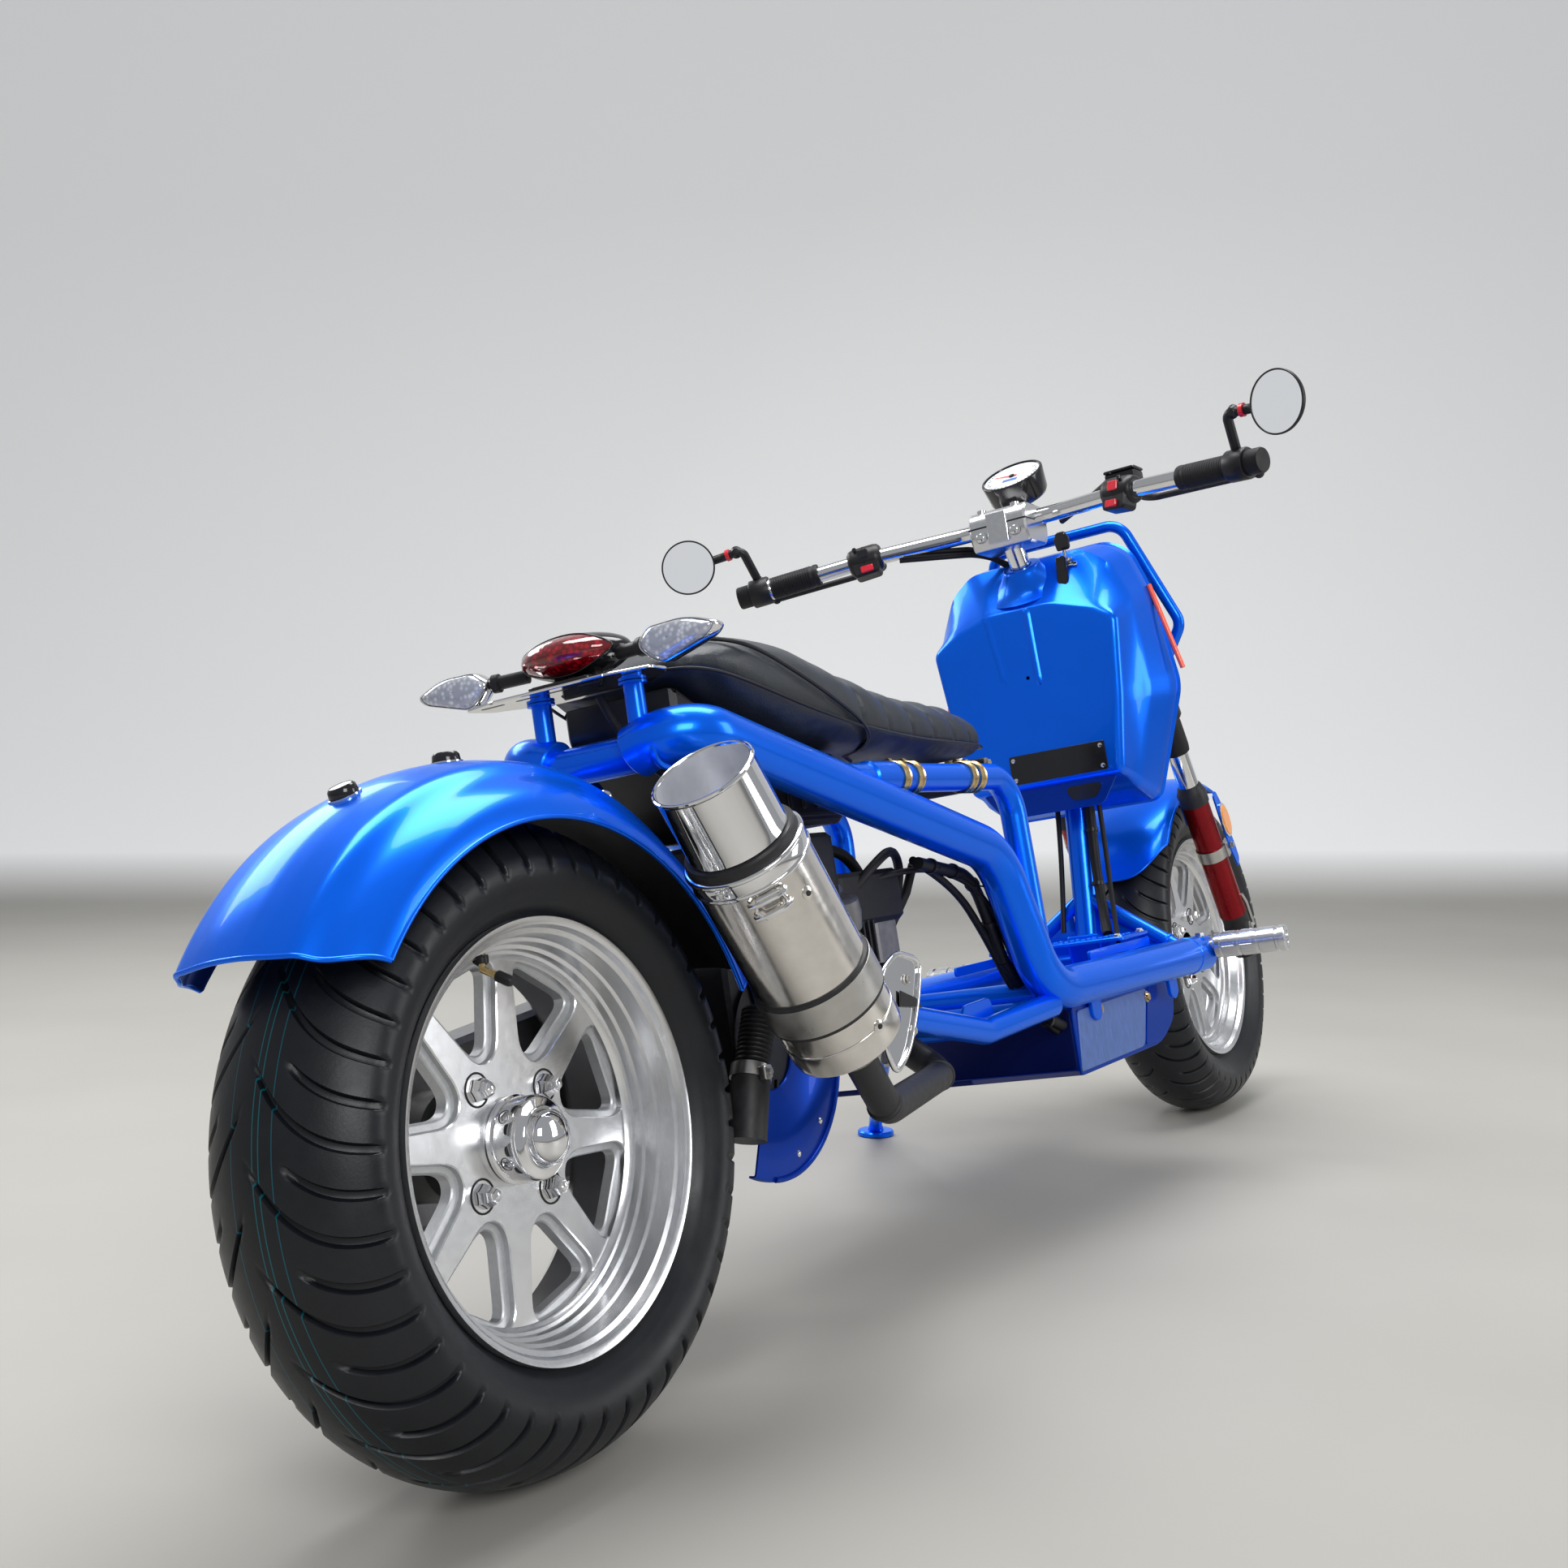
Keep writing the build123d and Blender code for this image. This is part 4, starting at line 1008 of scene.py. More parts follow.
front_half = [(70, 241), (68, 246), (62, 252), (52, 256.4), (40, 259.4), (24, 261.4), (10, 262)]
front_outline = [(-y, r) for y, r in front_half] + [(0, 262.2)] + front_half[::-1]
skin = fender(FRONT_AXLE, front_outline, lambda y: 65 + 5 * (np.abs(y) / 70) ** 4,
    lambda y: 152.5 - 15 * (np.abs(y) / 70) ** 3, 70, 45)
# The fender's underside takes the darker copy of the blue: painted shade.
front_parts = [shell(skin[::-1], 2.2, 0, 1)] + rolled_edges(skin, FRONT_AXLE, 1.2, 1.7)
for s in (-1, 1):
    front_parts.append(slab(rounded([(0, -20), (34, -14), (34, 14), (0, 20)], 7, closed=True), fork(222, s * 72, 6),
        (0, s, 0.12), UP_FORK, -1.5, 1.5, 0.5))
    front_parts += bolt(fork(222, s * 78, 9), (0, s, 0), 4.5, 4, 2)
piece("front_fender_pressing", front_parts, [blue, shade_painted_blue, chrome], "steering", ["front_fender"])

# %% [markdown]
# ## Cover in front of the rider
# The cover is a stack of ten-cornered outlines. Each corner is rounded, and the outline grows
# from the flat rear panel to the nose. Two faint ribs run down the rear panel.

# %% Leg shield, collar and lock
BACK = np.array([(-70, 808), (70, 808), (105, 780), (138, 717), (126, 610), (111, 506), (-111, 506), (-126, 610),
    (-138, 717), (-105, 780)], float)
NOSE = np.array([(-100, 836), (100, 836), (132, 815), (151, 757), (171, 617), (116, 464), (-116, 464), (-171, 617),
    (-151, 757), (-132, 815)], float)
PANEL = np.array([(-48, 753), (48, 753), (104, 735), (137, 714), (126, 610), (111, 506), (-111, 506), (-126, 610),
    (-137, 714), (-104, 735)], float)


def cover_ring(x, grow):
    """The outline at x, moved in by grow, with its corners rounded and its sides divided."""
    t = (x - 1172) / 128
    o = BACK * (1 - t) + NOSE * t
    w = np.clip((x - 1176) / 52, 0, 1)
    o = PANEL * (1 - w) + o * w
    middle = np.array([0, o[:, 1].mean()])
    o = middle + (o - middle) * (1 - grow / 130)
    o = rounded(o, 10 + 8 * t, 6, closed=True)
    d = np.concatenate([o, o[:1]])
    out = d[:-1, None] + (d[1:] - d[:-1])[:, None] * np.linspace(0, 1, 4)[None, :-1, None]
    return out.reshape(-1, 2)


LEVELS = [(1172.4, 12), (1172.8, 8.5), (1174, 5), (1176.4, 2.2), (1180, 0.6), (1185, 0), (1206, 0), (1222, 0),
    (1228, 0), (1236, 0), (1270, 0), (1286, 0), (1291, 1.6), (1292, 1.8), (1296, 0.2), (1299, 1.5), (1300, 6)]
STACK = [(1172, 12, 0.02), (1172.1, 12, 0.45), (1172.2, 12, 0.8), *[(x, g, 1) for x, g in LEVELS], (1300, 6, 0.7),
    (1300, 6, 0.02)]
cover = np.stack([np.insert((cover_ring(x, g) - [0, 655]) * k + [0, 655], 0, x, axis=1) for x, g, k in STACK])
parts = [grid(cover, close_v=True)]
for y0, y1, z0, z1, high in ((48, 34, 748, 648, 1.6), (-12, -15, 748, 640, 3.0)):
    z = np.linspace(z0, z1, 24)
    y = np.linspace(y0, y1, 24)
    lift_ = high * np.clip(np.minimum(np.arange(24), np.arange(24)[::-1] * 0.5), 0, 1)
    row = [np.stack([np.full(24, 1172.5) - lift_ * k, y + w, z], -1) for w, k in ((-6, 0), (-3.5, 0.5),
        (-1.5, 0.95), (0, 1), (1.5, 0.95), (3.5, 0.5), (6, 0))]
    parts.append(grid(np.stack(row)))
parts += [pipe([(1286, s * 149.5, 759), (1286, s * 163.5, 698), (1286, s * 177.5, 638)], 3.6, 12, 1)
    for s in (-1, 1)]
parts += [plate("back", box(-92, 553, 46, 514), 3, -1.4, 1, 0.3, 2, at=(1172, 0, 0))]
parts += [lathe([(0, 0), (0, 3.4), (1, 3), (1.6, 0)], (1170.6, y, z), (-1, 0, 0), 16, 3) for y in (-86, 40)
    for z in (520, 547)]
# The lower plate takes the darker copy of the blue: painted shade.
parts += [plate("back", [(-100, 510), (100, 510), (72, 470), (-72, 470)], 8, -1.6, 1.6, 0.5, 4, at=(1186, 0, 0)),
    plate("back", [(-76, 500), (-22, 500), (-30, 480), (-66, 480)], 9, -0.4, 0.4, 0.1, 2, at=(1184, 0, 0))]
plate_at = vec(1224, -62, 806)
for corners_, low_, high_, s in ((box(-19, -13, 19, 13), 0, 2.4, 3), (box(-15, -9, 15, 9), 2.2, 3.2, 2)):
    parts.append(slab(rounded(corners_, 4, closed=True), plate_at, (0.45, 0.2, 0.3), (-0.2, 0.9, 0), low_, high_,
        0.6, s))
lock_out = unit(np.cross((0.45, 0.2, 0.3), (-0.2, 0.9, 0)))
parts += [lathe([(0, 0), (0, 9), (5, 9), (6, 8), (6, 0)], plate_at, lock_out, 30, 3),
    lathe([(6, 0), (6, 2.6), (20, 2.6), (20, 0)], plate_at, lock_out, 14, 3)]
parts.append(slab(rounded([(-9, 18), (9, 18), (11, 34), (6, 44), (-6, 44), (-11, 34)], 3, closed=True), plate_at,
    (0, 1, 0), lock_out, -2.6, 2.6, 1, 2))
fob = plate_at + lock_out * 20 + [-4, 2, -2]
parts.append(slab(rounded([(-7, 4), (7, 4), (8, -30), (4, -40), (-4, -40), (-8, -30)], 3, closed=True),
    fob + [-8, 0, -14], (0, 1, 0), (0.12, 0, 1), -3, 3, 1.2, 2))
parts.append(pipe(fob + [-8, 0, -54] + np.array([(0, 0, 4), (-1, 0.6, -16), (-2, -0.4, -36), (-3, 0, -56.0)]), 1.3,
    10, 3))
piece("leg_shield_cover", parts, [blue, red_strip, gloss_black, chrome, shade_painted_blue], "chassis", ["leg_shield"],
    sharp=32)

collar_at = fork(668, 0, -OFFSET)
piece("shield_neck_cone", [lathe([(-17, 15.4), (-17, 62), (-14, 56), (-10, 48), (-4, 41), (4, 34), (12, 28.5),
    (16.2, 26.4), (17, 25), (17, 15.4)], collar_at, UP_FORK, 56, closed=True)], [blue], "chassis",
    ["shield_collar"])

# %% [markdown]
# ## Seat
# The seat is a stack of cushion-shaped sections. Each section is a superellipse: round on top
# and flatter below. Vinyl over foam is then pressed out by a short cloth simulation, and the
# pleats are sewn into the result as narrow channels.

# %% Seat surface
SEAT = np.array([(215, 76, 628, 618, 611), (250, 98, 645, 622, 604), (300, 108, 652, 620, 580),
    (384, 112, 649, 606, 555), (472, 110, 628, 586, 545), (562, 102, 613, 576, 540), (654, 92, 603, 570, 537),
    (760, 80, 599, 568, 537), (850, 64, 588, 566, 539), (900, 44, 574, 560, 543), (920, 22, 564, 557, 548)], float)


def seat_at(x):
    """Half width, top, widest and underside heights of the seat at a place along it."""
    xs = np.linspace(215, 920, 142)
    return [np.interp(x, xs, smooth(np.interp(xs, SEAT[:, 0], SEAT[:, k]), 26)) for k in range(1, 5)]


def seat_surface(shrink=0.0, nu=150, nv=96):
    """Sections u along the seat; y = h cos^(2/n), z rises or falls from the widest line by sin^(2/n)."""
    t = np.linspace(0, pi, nu)
    x = 217 + 702 * (1 - np.cos(t)) / 2
    h, top, wide, under = seat_at(x)
    ends = np.clip(np.minimum((x - 216.6) / 16, (919.4 - x) / 30), 0, 1)
    k = np.sqrt(1 - (1 - ends) ** 2)[:, None]
    a = np.linspace(0, 2 * pi, nv, endpoint=False)[None]
    c, s = np.cos(a), np.sin(a)
    up_ = s > 0
    n = np.where(up_, 2.5, 3.4)
    y = np.sign(c) * np.abs(c) ** (2 / n) * (h[:, None] - shrink) * k
    reach = np.where(up_, (top - wide)[:, None] - shrink, (wide - under)[:, None] - shrink) * k
    return np.stack([np.broadcast_to(x[:, None], y.shape), y, wide[:, None]
        + np.sign(s) * np.abs(s) ** (2 / n) * reach], -1)


def sewn(p, normal):
    """Pushes points in along narrow channels: six pleats over the nose and one long side seam."""
    x, y, z = p.T
    h, top, wide, under = seat_at(x)
    drop = np.clip((top - z) / (top - under), 0, 1)
    depth = np.zeros(len(p))
    for x0 in (478, 543, 608, 673, 738, 800, 856):
        d = x - (x0 + 40 * drop ** 1.3)
        depth += 3.4 * np.exp(-(d / 3.0) ** 2) * np.clip((0.80 - drop) / 0.12, 0, 1)
        depth -= 1.3 * np.exp(-((np.abs(d) - 32) / 19) ** 2) * np.clip((0.7 - drop) / 0.2, 0, 1)
    line = 640 - (x - 275) * 0.36
    side = (z - line) / 1.06
    depth += 1.7 * np.exp(-(side / 2.4) ** 2) * (np.abs(y) > 0.62 * h) * (x < 560)
    return p - normal * depth[:, None]


def seam_path(s):
    """The piping that parts the seat's crown from its side panel, on one side."""
    x = np.linspace(236, 566, 90)
    h, top, wide, under = seat_at(x)
    z = np.minimum(640 - (x - 275) * 0.36, top - 3)
    z = np.where(x < 300, np.minimum(z, top - 4), z)
    rise = np.clip((z - wide) / (top - wide), -0.98, 0.985)
    low_ = np.clip((wide - z) / (wide - under), 0, 0.985)
    y = np.where(z > wide, (1 - np.abs(rise) ** 2.5) ** (1 / 2.5), (1 - low_ ** 3.4) ** (1 / 3.4)) * h
    return np.stack([x, s * (y + 0.4), np.where(z > wide, wide + rise * (top - wide), z)], -1)


seat = piece("seat_cushion", [grid(seat_surface(2.2), close_v=True, caps=True)], [vinyl],
    "saddle", ["seat"], sharp=180)


def triples(items, key):
    """Reads three numbers from each item of a mesh, as rows."""
    values = np.empty(len(items) * 3, np.float32)
    items.foreach_get(key, values)
    return values.reshape(-1, 3).astype(float)


def read_points(obj):
    """Vertex places of a mesh in upright millimetres, and its normals turned upright."""
    p, nrm = triples(obj.data.vertices, "co") * 1000, triples(obj.data.vertex_normals, "vector")
    y, z = p[:, 1] + ORIGIN_Y, p[:, 2] + DROP
    up_p = np.stack([p[:, 0] + ORIGIN_X, y * COS - z * SIN, y * SIN + z * COS], -1)
    return up_p, np.stack([nrm[:, 0], nrm[:, 1] * COS - nrm[:, 2] * SIN, nrm[:, 1] * SIN + nrm[:, 2] * COS], -1)


def write_points(obj, p):
    """Puts upright millimetres back into a mesh."""
    obj.data.vertices.foreach_set("co", parked(p).astype(np.float32).ravel())
    obj.data.update()


# %% Vinyl pulled over foam
PULL_LIMIT, LAST_FRAME = 0.0032, 20


def applied(obj):
    """Freezes an object's modifiers into its mesh."""
    deps = bpy.context.evaluated_depsgraph_get()
    mesh = bpy.data.meshes.new_from_object(obj.evaluated_get(deps), depsgraph=deps)
    obj.modifiers.clear()
    obj.data = mesh


remesh = seat.modifiers.new("even_quads", "REMESH")
remesh.mode, remesh.voxel_size = "VOXEL", 0.0062
applied(seat)
before = triples(seat.data.vertices, "co")
cloth = seat.modifiers.new("pressed_out", "CLOTH")
cs = cloth.settings
cs.quality, cs.mass = 6, 0.3
cs.tension_stiffness = cs.compression_stiffness = 30
cs.shear_stiffness, cs.bending_stiffness = 20, 2.5
cs.use_pressure, cs.uniform_pressure_force = True, 4
cs.effector_weights.gravity = 0
cloth.point_cache.frame_start, cloth.point_cache.frame_end = 1, LAST_FRAME
for f in range(1, LAST_FRAME + 1):
    bpy.context.scene.frame_set(f)
applied(seat)
move = triples(seat.data.vertices, "co") - before
length = np.linalg.norm(move, axis=1, keepdims=True)
move *= np.minimum(1, PULL_LIMIT / np.maximum(length, 1e-9))
seat.data.vertices.foreach_set("co", (before + move).astype(np.float32).ravel())
seat.data.update()
bpy.context.scene.frame_set(1)
print("cloth moved the seat by up to", round(float(length.max()) * 1000, 2), "mm")
sub = seat.modifiers.new("finer", "SUBSURF")
sub.levels = sub.render_levels = 1
applied(seat)
p, nrm = read_points(seat)
write_points(seat, sewn(p, nrm))
seat.data.materials.clear()
seat.data.materials.append(vinyl)
seat.data.shade_smooth()

cord_parts = [pipe(seam_path(s), 2.1, 12, ref=(0, 0, 1)) for s in (-1, 1)]
bottom = seat_surface()[6:144, 90]
cord_parts += [pipe(bottom * [1, k, 1] + [0, 0, -0.4], 1.6, 10, ref=(0, 0, 1)) for k in (1, -1)]
piece("seat_piping", cord_parts, [black], "saddle")

# %% [markdown]
# ## Tail
# The tail lamp is half of an ellipsoid with an eye-shaped lens laid over its rear. The signals
# are leaf outlines with a domed lens in a chrome rim.

# %% Tail lamp, signals and number plate bracket
def dome(centre, semi, y_lim, z_lim, n=(40, 24), slot=0, eye=False, grow=0.0):
    """The rear half of an ellipsoid: x = x0 - a sqrt(1 - (y/b)^2 - (z/c)^2)."""
    y = np.linspace(-y_lim, y_lim, n[0])[:, None]
    v = np.linspace(-1, 1, n[1])[None]
    lim = z_lim * (np.maximum(1 - (y / (y_lim + 0.01)) ** 2, 0) ** (0.75 if eye else 0.5))
    z = v * lim
    x = -semi[0] * np.sqrt(np.maximum(1 - (y / semi[1]) ** 2 - (z / semi[2]) ** 2, 0)) - grow
    return grid(np.stack([x, np.broadcast_to(y, x.shape), z], -1) + centre, slot=slot)


lamp_at = vec(186, 0, 636)
ring_a = np.linspace(0, 2 * pi, 72, endpoint=False)
body = []
back_x = 186 - 45 * np.sin(np.linspace(0.12, pi / 2 - 0.02, 16))
for x, k in [(196, 0.02), (196, 0.90), (195, 0.955), (192, 0.985), (186, 1.0)] + [(x,
        sqrt(1 - ((186 - x) / 45) ** 2)) for x in back_x]:
    body.append(np.stack([np.full(72, float(x)), 54 * k * np.cos(ring_a), 636 + 19.5 * k * np.sin(ring_a)], -1))
tail = [grid(np.stack(body), close_v=True, slot=0), dome(lamp_at, (45, 54, 19.5), 50.5, 16.8, (64, 24), 1, eye=True,
    grow=0.7)]
rim_y = np.concatenate([np.linspace(-50, 50, 40), np.linspace(50, -50, 40)[1:-1]])
rim_z = 17.0 * np.maximum(1 - (rim_y / 50.6) ** 2, 0) ** 0.75 * np.concatenate([np.ones(40), -np.ones(38)])
rim_x = 186 - 45 * np.sqrt(np.maximum(1 - (rim_y / 54) ** 2 - (rim_z / 19.5) ** 2, 0))
rim_pts = np.stack([rim_x, rim_y, 636 + rim_z], -1)
tail.append(carried(rim_pts, circle(1.3, 10), ref=(1, 0, 0), closed=True))
tail += [lathe([(0, 0), (0, 7), (8, 6), (10, 5), (12.5, 5)], (180, y, 609), (0, 0, 1), 24, 2) for y in (-20, 20)]
tail += [plate("top", [(148, -34), (148, 34), (196, 40), (196, -40)], 8, 0, 3, 0.8, at=(0, 0, 610))]
piece("tail_lamp_unit", tail, [gloss_black, red_lens, black], "chassis", ["tail_lamp"], sharp=45)

LEAF = np.array([(84, 631), (96, 641), (136, 642), (166, 631), (158, 622), (106, 608), (96, 612), (84, 624)], float)
leaf_line = rounded(LEAF, [5, 6, 14, 6, 8, 6, 6, 5], 6, closed=True)
leaf_mid = np.array([118, 627.0])


def leaf_ring(x, k):
    """The leaf outline at x, scaled about its middle."""
    o = leaf_mid + (leaf_line - leaf_mid) * k
    return np.stack([np.full(len(o), float(x)), -o[:, 0], o[:, 1]], -1)


for name, s in SIDES:
    shell_rings = [(176, 0.02), (177.6, 0.5), (176.5, 0.8), (171, 0.96), (165, 1.0), (160, 1.0), (156.6, 0.985),
        (155.6, 0.955), (156, 0.93), (158, 0.915)]
    lens_rings = [(158, 0.925), (155.4, 0.90), (153.2, 0.84), (151.4, 0.72), (150.4, 0.52), (150, 0.25),
        (150, 0.02)]
    parts = [grid(np.stack([leaf_ring(x, k) for x, k in shell_rings]), close_v=True, slot=0),
        grid(np.stack([leaf_ring(x, k) for x, k in lens_rings]), close_v=True, slot=1),
        pipe([(176, -51, 629), (172, -66, 628.6), (166, -90, 628)], 6.2, 26, 2),
        lathe([(-3, 6), (-2, 8.4), (4, 8.4), (6, 6.4)], (168.4, -80, 628.2), (-0.28, -1, 0), 26, 2),
        slab([(-16, 3.5), (14, 6.5), (34, 0.5), (16, -6), (-10, -9)], (157.6, -124, 627), (0, -1, 0), (0, 0, 1),
        -0.5, 0.6, 0.3)]
    piece("signal_lamp_" + name, mirrored(parts) if s > 0 else parts, [chrome, clear_lens, black], "chassis",
        ["signal_" + name], sharp=40)

bracket_line = rounded([(134, -62), (134, 62), (146, 102), (176, 98), (214, 52), (214, -52), (176, -98),
    (146, -102)], [8, 8, 5, 6, 8, 8, 6, 5], 5, closed=True)
plate_parts = [plate("top", bracket_line, None, -1.0, 1.6, 0.6, at=(0, 0, 606))]
for y in (-74, 74, -34, 34, 0):
    plate_parts.append(plate("top", box(148, y - 13, 152, y + 13), 1.8, -1.2, 1.8, 0.2, 1, at=(0, 0, 606)))
plate_parts.append(pipe([(134.6, y, 606.2) for y in np.linspace(-60, 60, 6)], 1.4, 8, ref=(0, 0, 1)))
plate_parts += bolts([(188, y, 607.6) for y in (-51, 51)], (0, 0, 1))
plate_parts += bolts([(170, y, 607.6) for y in (-36, 36)], (0, 0, 1), 4, 3)
piece("plate_bracket_sheet", plate_parts, [chrome, black], "chassis", ["plate_bracket"])

# %% Seat base and hinge
box_side = rounded([(230, 566), (230, 601), (262, 589), (312, 568), (352, 558), (409, 548), (504, 540), (504, 470),
    (330, 470)], [10, 4, 6, 6, 6, 6, 6, 14, 20], 4, closed=True)
base = [plate("side", box_side, None, -62, 62, 5)]
for x in range(290, 500, 26):
    base.append(brick((x, -64.4, 486 if x > 335 else 520), (x + 6, 64.4, 534), 2, 1))
base += [brick((350, -65, 478), (486, 65, 482), 2, 1)]
piece("seat_base_box", base, [black], "chassis", ["seat_box"])
hinge = [cross_tube(905, 532, 40, 7), cross_tube(800, 504, 97, 9), plate("side",
    [(796, 498), (905, 526), (905, 538), (796, 512)], None, -20, 20)]
hinge += bolt((905, -40, 532), (0, -1, 0), 5, 5, 1) + bolt((905, 40, 532), (0, 1, 0), 5, 5, 1)
piece("seat_hinge_bar", hinge, [black_metal, steel], "chassis", ["seat_hinge"])

# %% [markdown]
# ## Floor, pegs and stand

# %% Floor pan, step plate and foot pegs
pan = rounded([(887, 151), (1168, 151), (1226, 176), (1243, 233), (887, 233)], [8, 26, 20, 6, 6], 6, closed=True)
# The pan's body and its two flow plates take the darker copy of the blue: painted shade.
floor_parts = [plate("side", pan, None, -106, 106, 1.2), plate("back", box(-102, 160, 102, 230), 6, -1.2, 1.2, 0.4,
    3, at=(886.6, 0, 0)), plate("side", [(606, 186), (887, 152), (887, 158), (606, 192)], 2.4, -104, 104, 1, 3)]
side_panel = rounded([(887, 156), (1098, 156), (1134, 226), (900, 226)], [4, 10, 10, 4], 5, closed=True)
flow = rounded([(1104, 156), (1168, 156), (1222, 180), (1238, 228), (1142, 228)], [8, 22, 18, 8, 8], 5, closed=True)
for s in (-1, 1):
    floor_parts += [plate("side", side_panel, None, -1.4, 1.4, 0.8, 1, at=(0, s * 106.4, 0)),
        plate("side", flow, None, -1.2, 1.2, 0.8, at=(0, s * 106.2, 0))]
    for x, z in ((966, 219), (1130, 215)):
        floor_parts += [lathe([(0, 0), (0, 7.4), (1.2, 7.4), (1.4, 5.2), (4.6, 4.6), (5.2, 3), (5.2, 0)],
            (x, s * 107.4, z), (0, s, 0), 24, 2)]
# A near-black blue for the pan's back plate and the low sill behind the floor: painted shade under the floor.
tray_shade_painted = finish("blue_tray_painted_shade", (0.0004, 0.007, 0.085), 0.3, (0.4, 0.5), 14, 0.05, spec=0.3)
piece("floor_pan", floor_parts, [shade_painted_blue, panel_grey, brass, tray_shade_painted], "chassis", ["floor_box"])

deck_parts = [plate("top", box(1110, -96, 1212, 96), 8, -2.6, 2.4, at=(0, 0, 293.5))]
deck_parts += [lathe([(0, 0), (0, 5.6), (0.8, 5.4), (1.1, 0)], (1130 + 20 * i, y, 295.9), (0, 0, 1), 14)
    for i in range(4) for y in (-72, -48, -24, 0, 24, 48, 72)]
deck_parts += bolts([(x, y, 296) for x in (1120, 1202) for y in (-86, 86)], (0, 0, 1), 4.5, 3, 1)
deck_parts += [plate("side", box(1000, 276, 1212, 288), 4, -2, 2, 0.6, at=(0, s * 92, 0)) for s in (-1, 1)]
piece("step_plate", deck_parts, [blue, steel], "chassis", ["deck"])

PEG_A, PEG_B = vec(1255, -168, 262), vec(1261, -262, 261)
peg_way = unit(PEG_B - PEG_A)
LONG = float(np.linalg.norm(PEG_B - PEG_A))
profile = [(0, 0), (0, 15.4), (1.2, 16.6)]
for k in range(3):
    s0 = 8 + k * 24
    profile += [(s0, 16.9), (s0 + 1, 15.8), (s0 + 3, 15.8), (s0 + 4, 16.9)]
profile += [(LONG - 14, 16.9), (LONG - 13, 14.8), (LONG - 10, 14.8), (LONG - 9, 16.9), (LONG - 1.4, 16.9),
    (LONG, 15.4), (LONG, 9.4), (LONG - 6, 8.6), (LONG - 6, 0)]
peg_parts = [lathe(profile, PEG_A, peg_way, 48)]
for a in np.arange(18) * pi / 9:
    out = vec(sin(a), 0, cos(a))
    peg_parts += [slab(box(-8, -1.5, 8, 1.5), PEG_A + peg_way * along_peg + out * 16.2, peg_way,
        np.cross(out, peg_way), 0, 0.9, 0.3) for along_peg in (20, 44)]
peg_parts += [pipe([(1250, -128, 258), (1253, -150, 262), (1255, -170, 262)], 9, 22, 1),
    plate("side", box(-16, -14, 16, 14), 6, -9, 9, 2, 2, at=(1252, -150, 262))]
peg_parts += bolt((1253, -149, 276), (0, 0, 1), 6, 5, 1)
piece("foot_peg_right", peg_parts, [machined, steel, blue], "chassis", ["peg_right"])
piece("foot_peg_left", mirrored(peg_parts), [machined, steel, blue], "chassis", ["peg_left"])

# %% Side stand
STAND = vec(880, 146, 208)
SWING = unit(vec(0.1474, 0.311, 0.6765))
FOOT = vec(1168, 340, (4 + DROP + 340 * SIN) / COS)
leg_way = unit(FOOT + [0, 0, 6] - STAND)
leg_long = float(np.linalg.norm(FOOT + [0, 0, 6] - STAND))
stand_parts = [lathe([(-12, 6.2), (-12, 13.6), (-10.6, 15), (10.6, 15), (12, 13.6), (12, 6.2)], STAND, SWING, 36,
    closed=True), lathe([(13, 0), (13, 10.6), (leg_long * 0.5, 10), (leg_long - 4, 9.4), (leg_long, 6),
    (leg_long, 0)], STAND, leg_way, 30)]
ground_up = vec(0, -SIN, COS)
stand_parts.append(lathe([(-4, 0), (-4, 23), (-2.6, 25.6), (2, 25.8), (4, 24), (4.2, 12), (6, 11), (9, 10)], FOOT,
    ground_up, 44))
spring_at = [STAND + leg_way * 26 + SWING * 16, STAND + leg_way * 96 + SWING * 11]
stand_parts.append(pipe(coil(*spring_at, 15, 5, 12, (0, 0, 1)), 1.1, 6, 1, ref=spring_at[1] - spring_at[0]))
piece("side_stand_leg", stand_parts, [blue, steel], "stand", ["side_stand"])

# %% [markdown]
# ## Engine, drive and shock absorber
# The engine keeps its plain block shape from the CAD, with fins, covers and bolts added where
# they show. The fins are thin plates across the cylinder.

# %% Engine block and cylinder
engine_parts = [plate("side", box(288, 194, 437, 362), 22, -88, 34, 4, steps=6)]
engine_parts += [lathe([(0, 0), (0, 62), (-2, 66), (-5, 68), (-5, 0)], CRANK + [20, -34, 0], (0, 1, 0), 48)]
for t in np.arange(10) * pi / 5:
    at = CRANK + [20 + 46 * cos(t), -39.6, 46 * sin(t)]
    engine_parts.append(slab(box(-12, -1.6, 12, 1.6), at, (cos(t), 0, sin(t)), (-sin(t), 0, cos(t)), -1, 2.2, 0.5))
engine_parts += bolts([(x, -34, z) for x in (298, 362, 427) for z in (204, 352)], (0, -1, 0), 5, 5, 1)
engine_parts += [brick((300, -20, 362), (420, 70, 366), 8, 2), brick((332, 0, 366), (388, 56, 386), 8, 3, 1)]
piece("engine_case", engine_parts, [engine_grey, alloy], "chassis", ["engine"])

barrel = [plate("side", box(441, 272, 596, 372), 12, -48, 48, 4, steps=5)]
for k in range(9):
    x = 452 + k * 10.5
    fin = rounded(box(-57, 263, 57, 381), 12, 4, closed=True)
    barrel.append(plate("back", fin, None, -1.3, 1.3, 0.7, at=(x, 0, 0)))
barrel += [plate("back", box(-52, 266, 52, 378), 14, -20, 27, 4, 1, at=(568, 0, 0), steps=5)]
barrel += bolts([(595, y, z) for y in (-42, 42) for z in (276, 368)], (1, 0, 0), 5.5, 5, 2)
barrel += [lathe([(0, 0), (0, 17), (4, 18), (10, 16), (14, 10), (15, 0)], (500, -8, 381), (0, 0, 1), 30, 1),
    pipe([(500, -10, 384), (496, -26, 404), (474, -52, 404), (452, -62, 384)], 8, 18, 2),
    lathe([(0, 0), (0, 19), (16, 20), (30, 18), (34, 12), (34, 0)], (470, -58, 366), (-0.3, -0.2, 1), 30, 1)]
barrel += bolt((520, -57, 300), (0, -1, 0), 7, 7, 2)
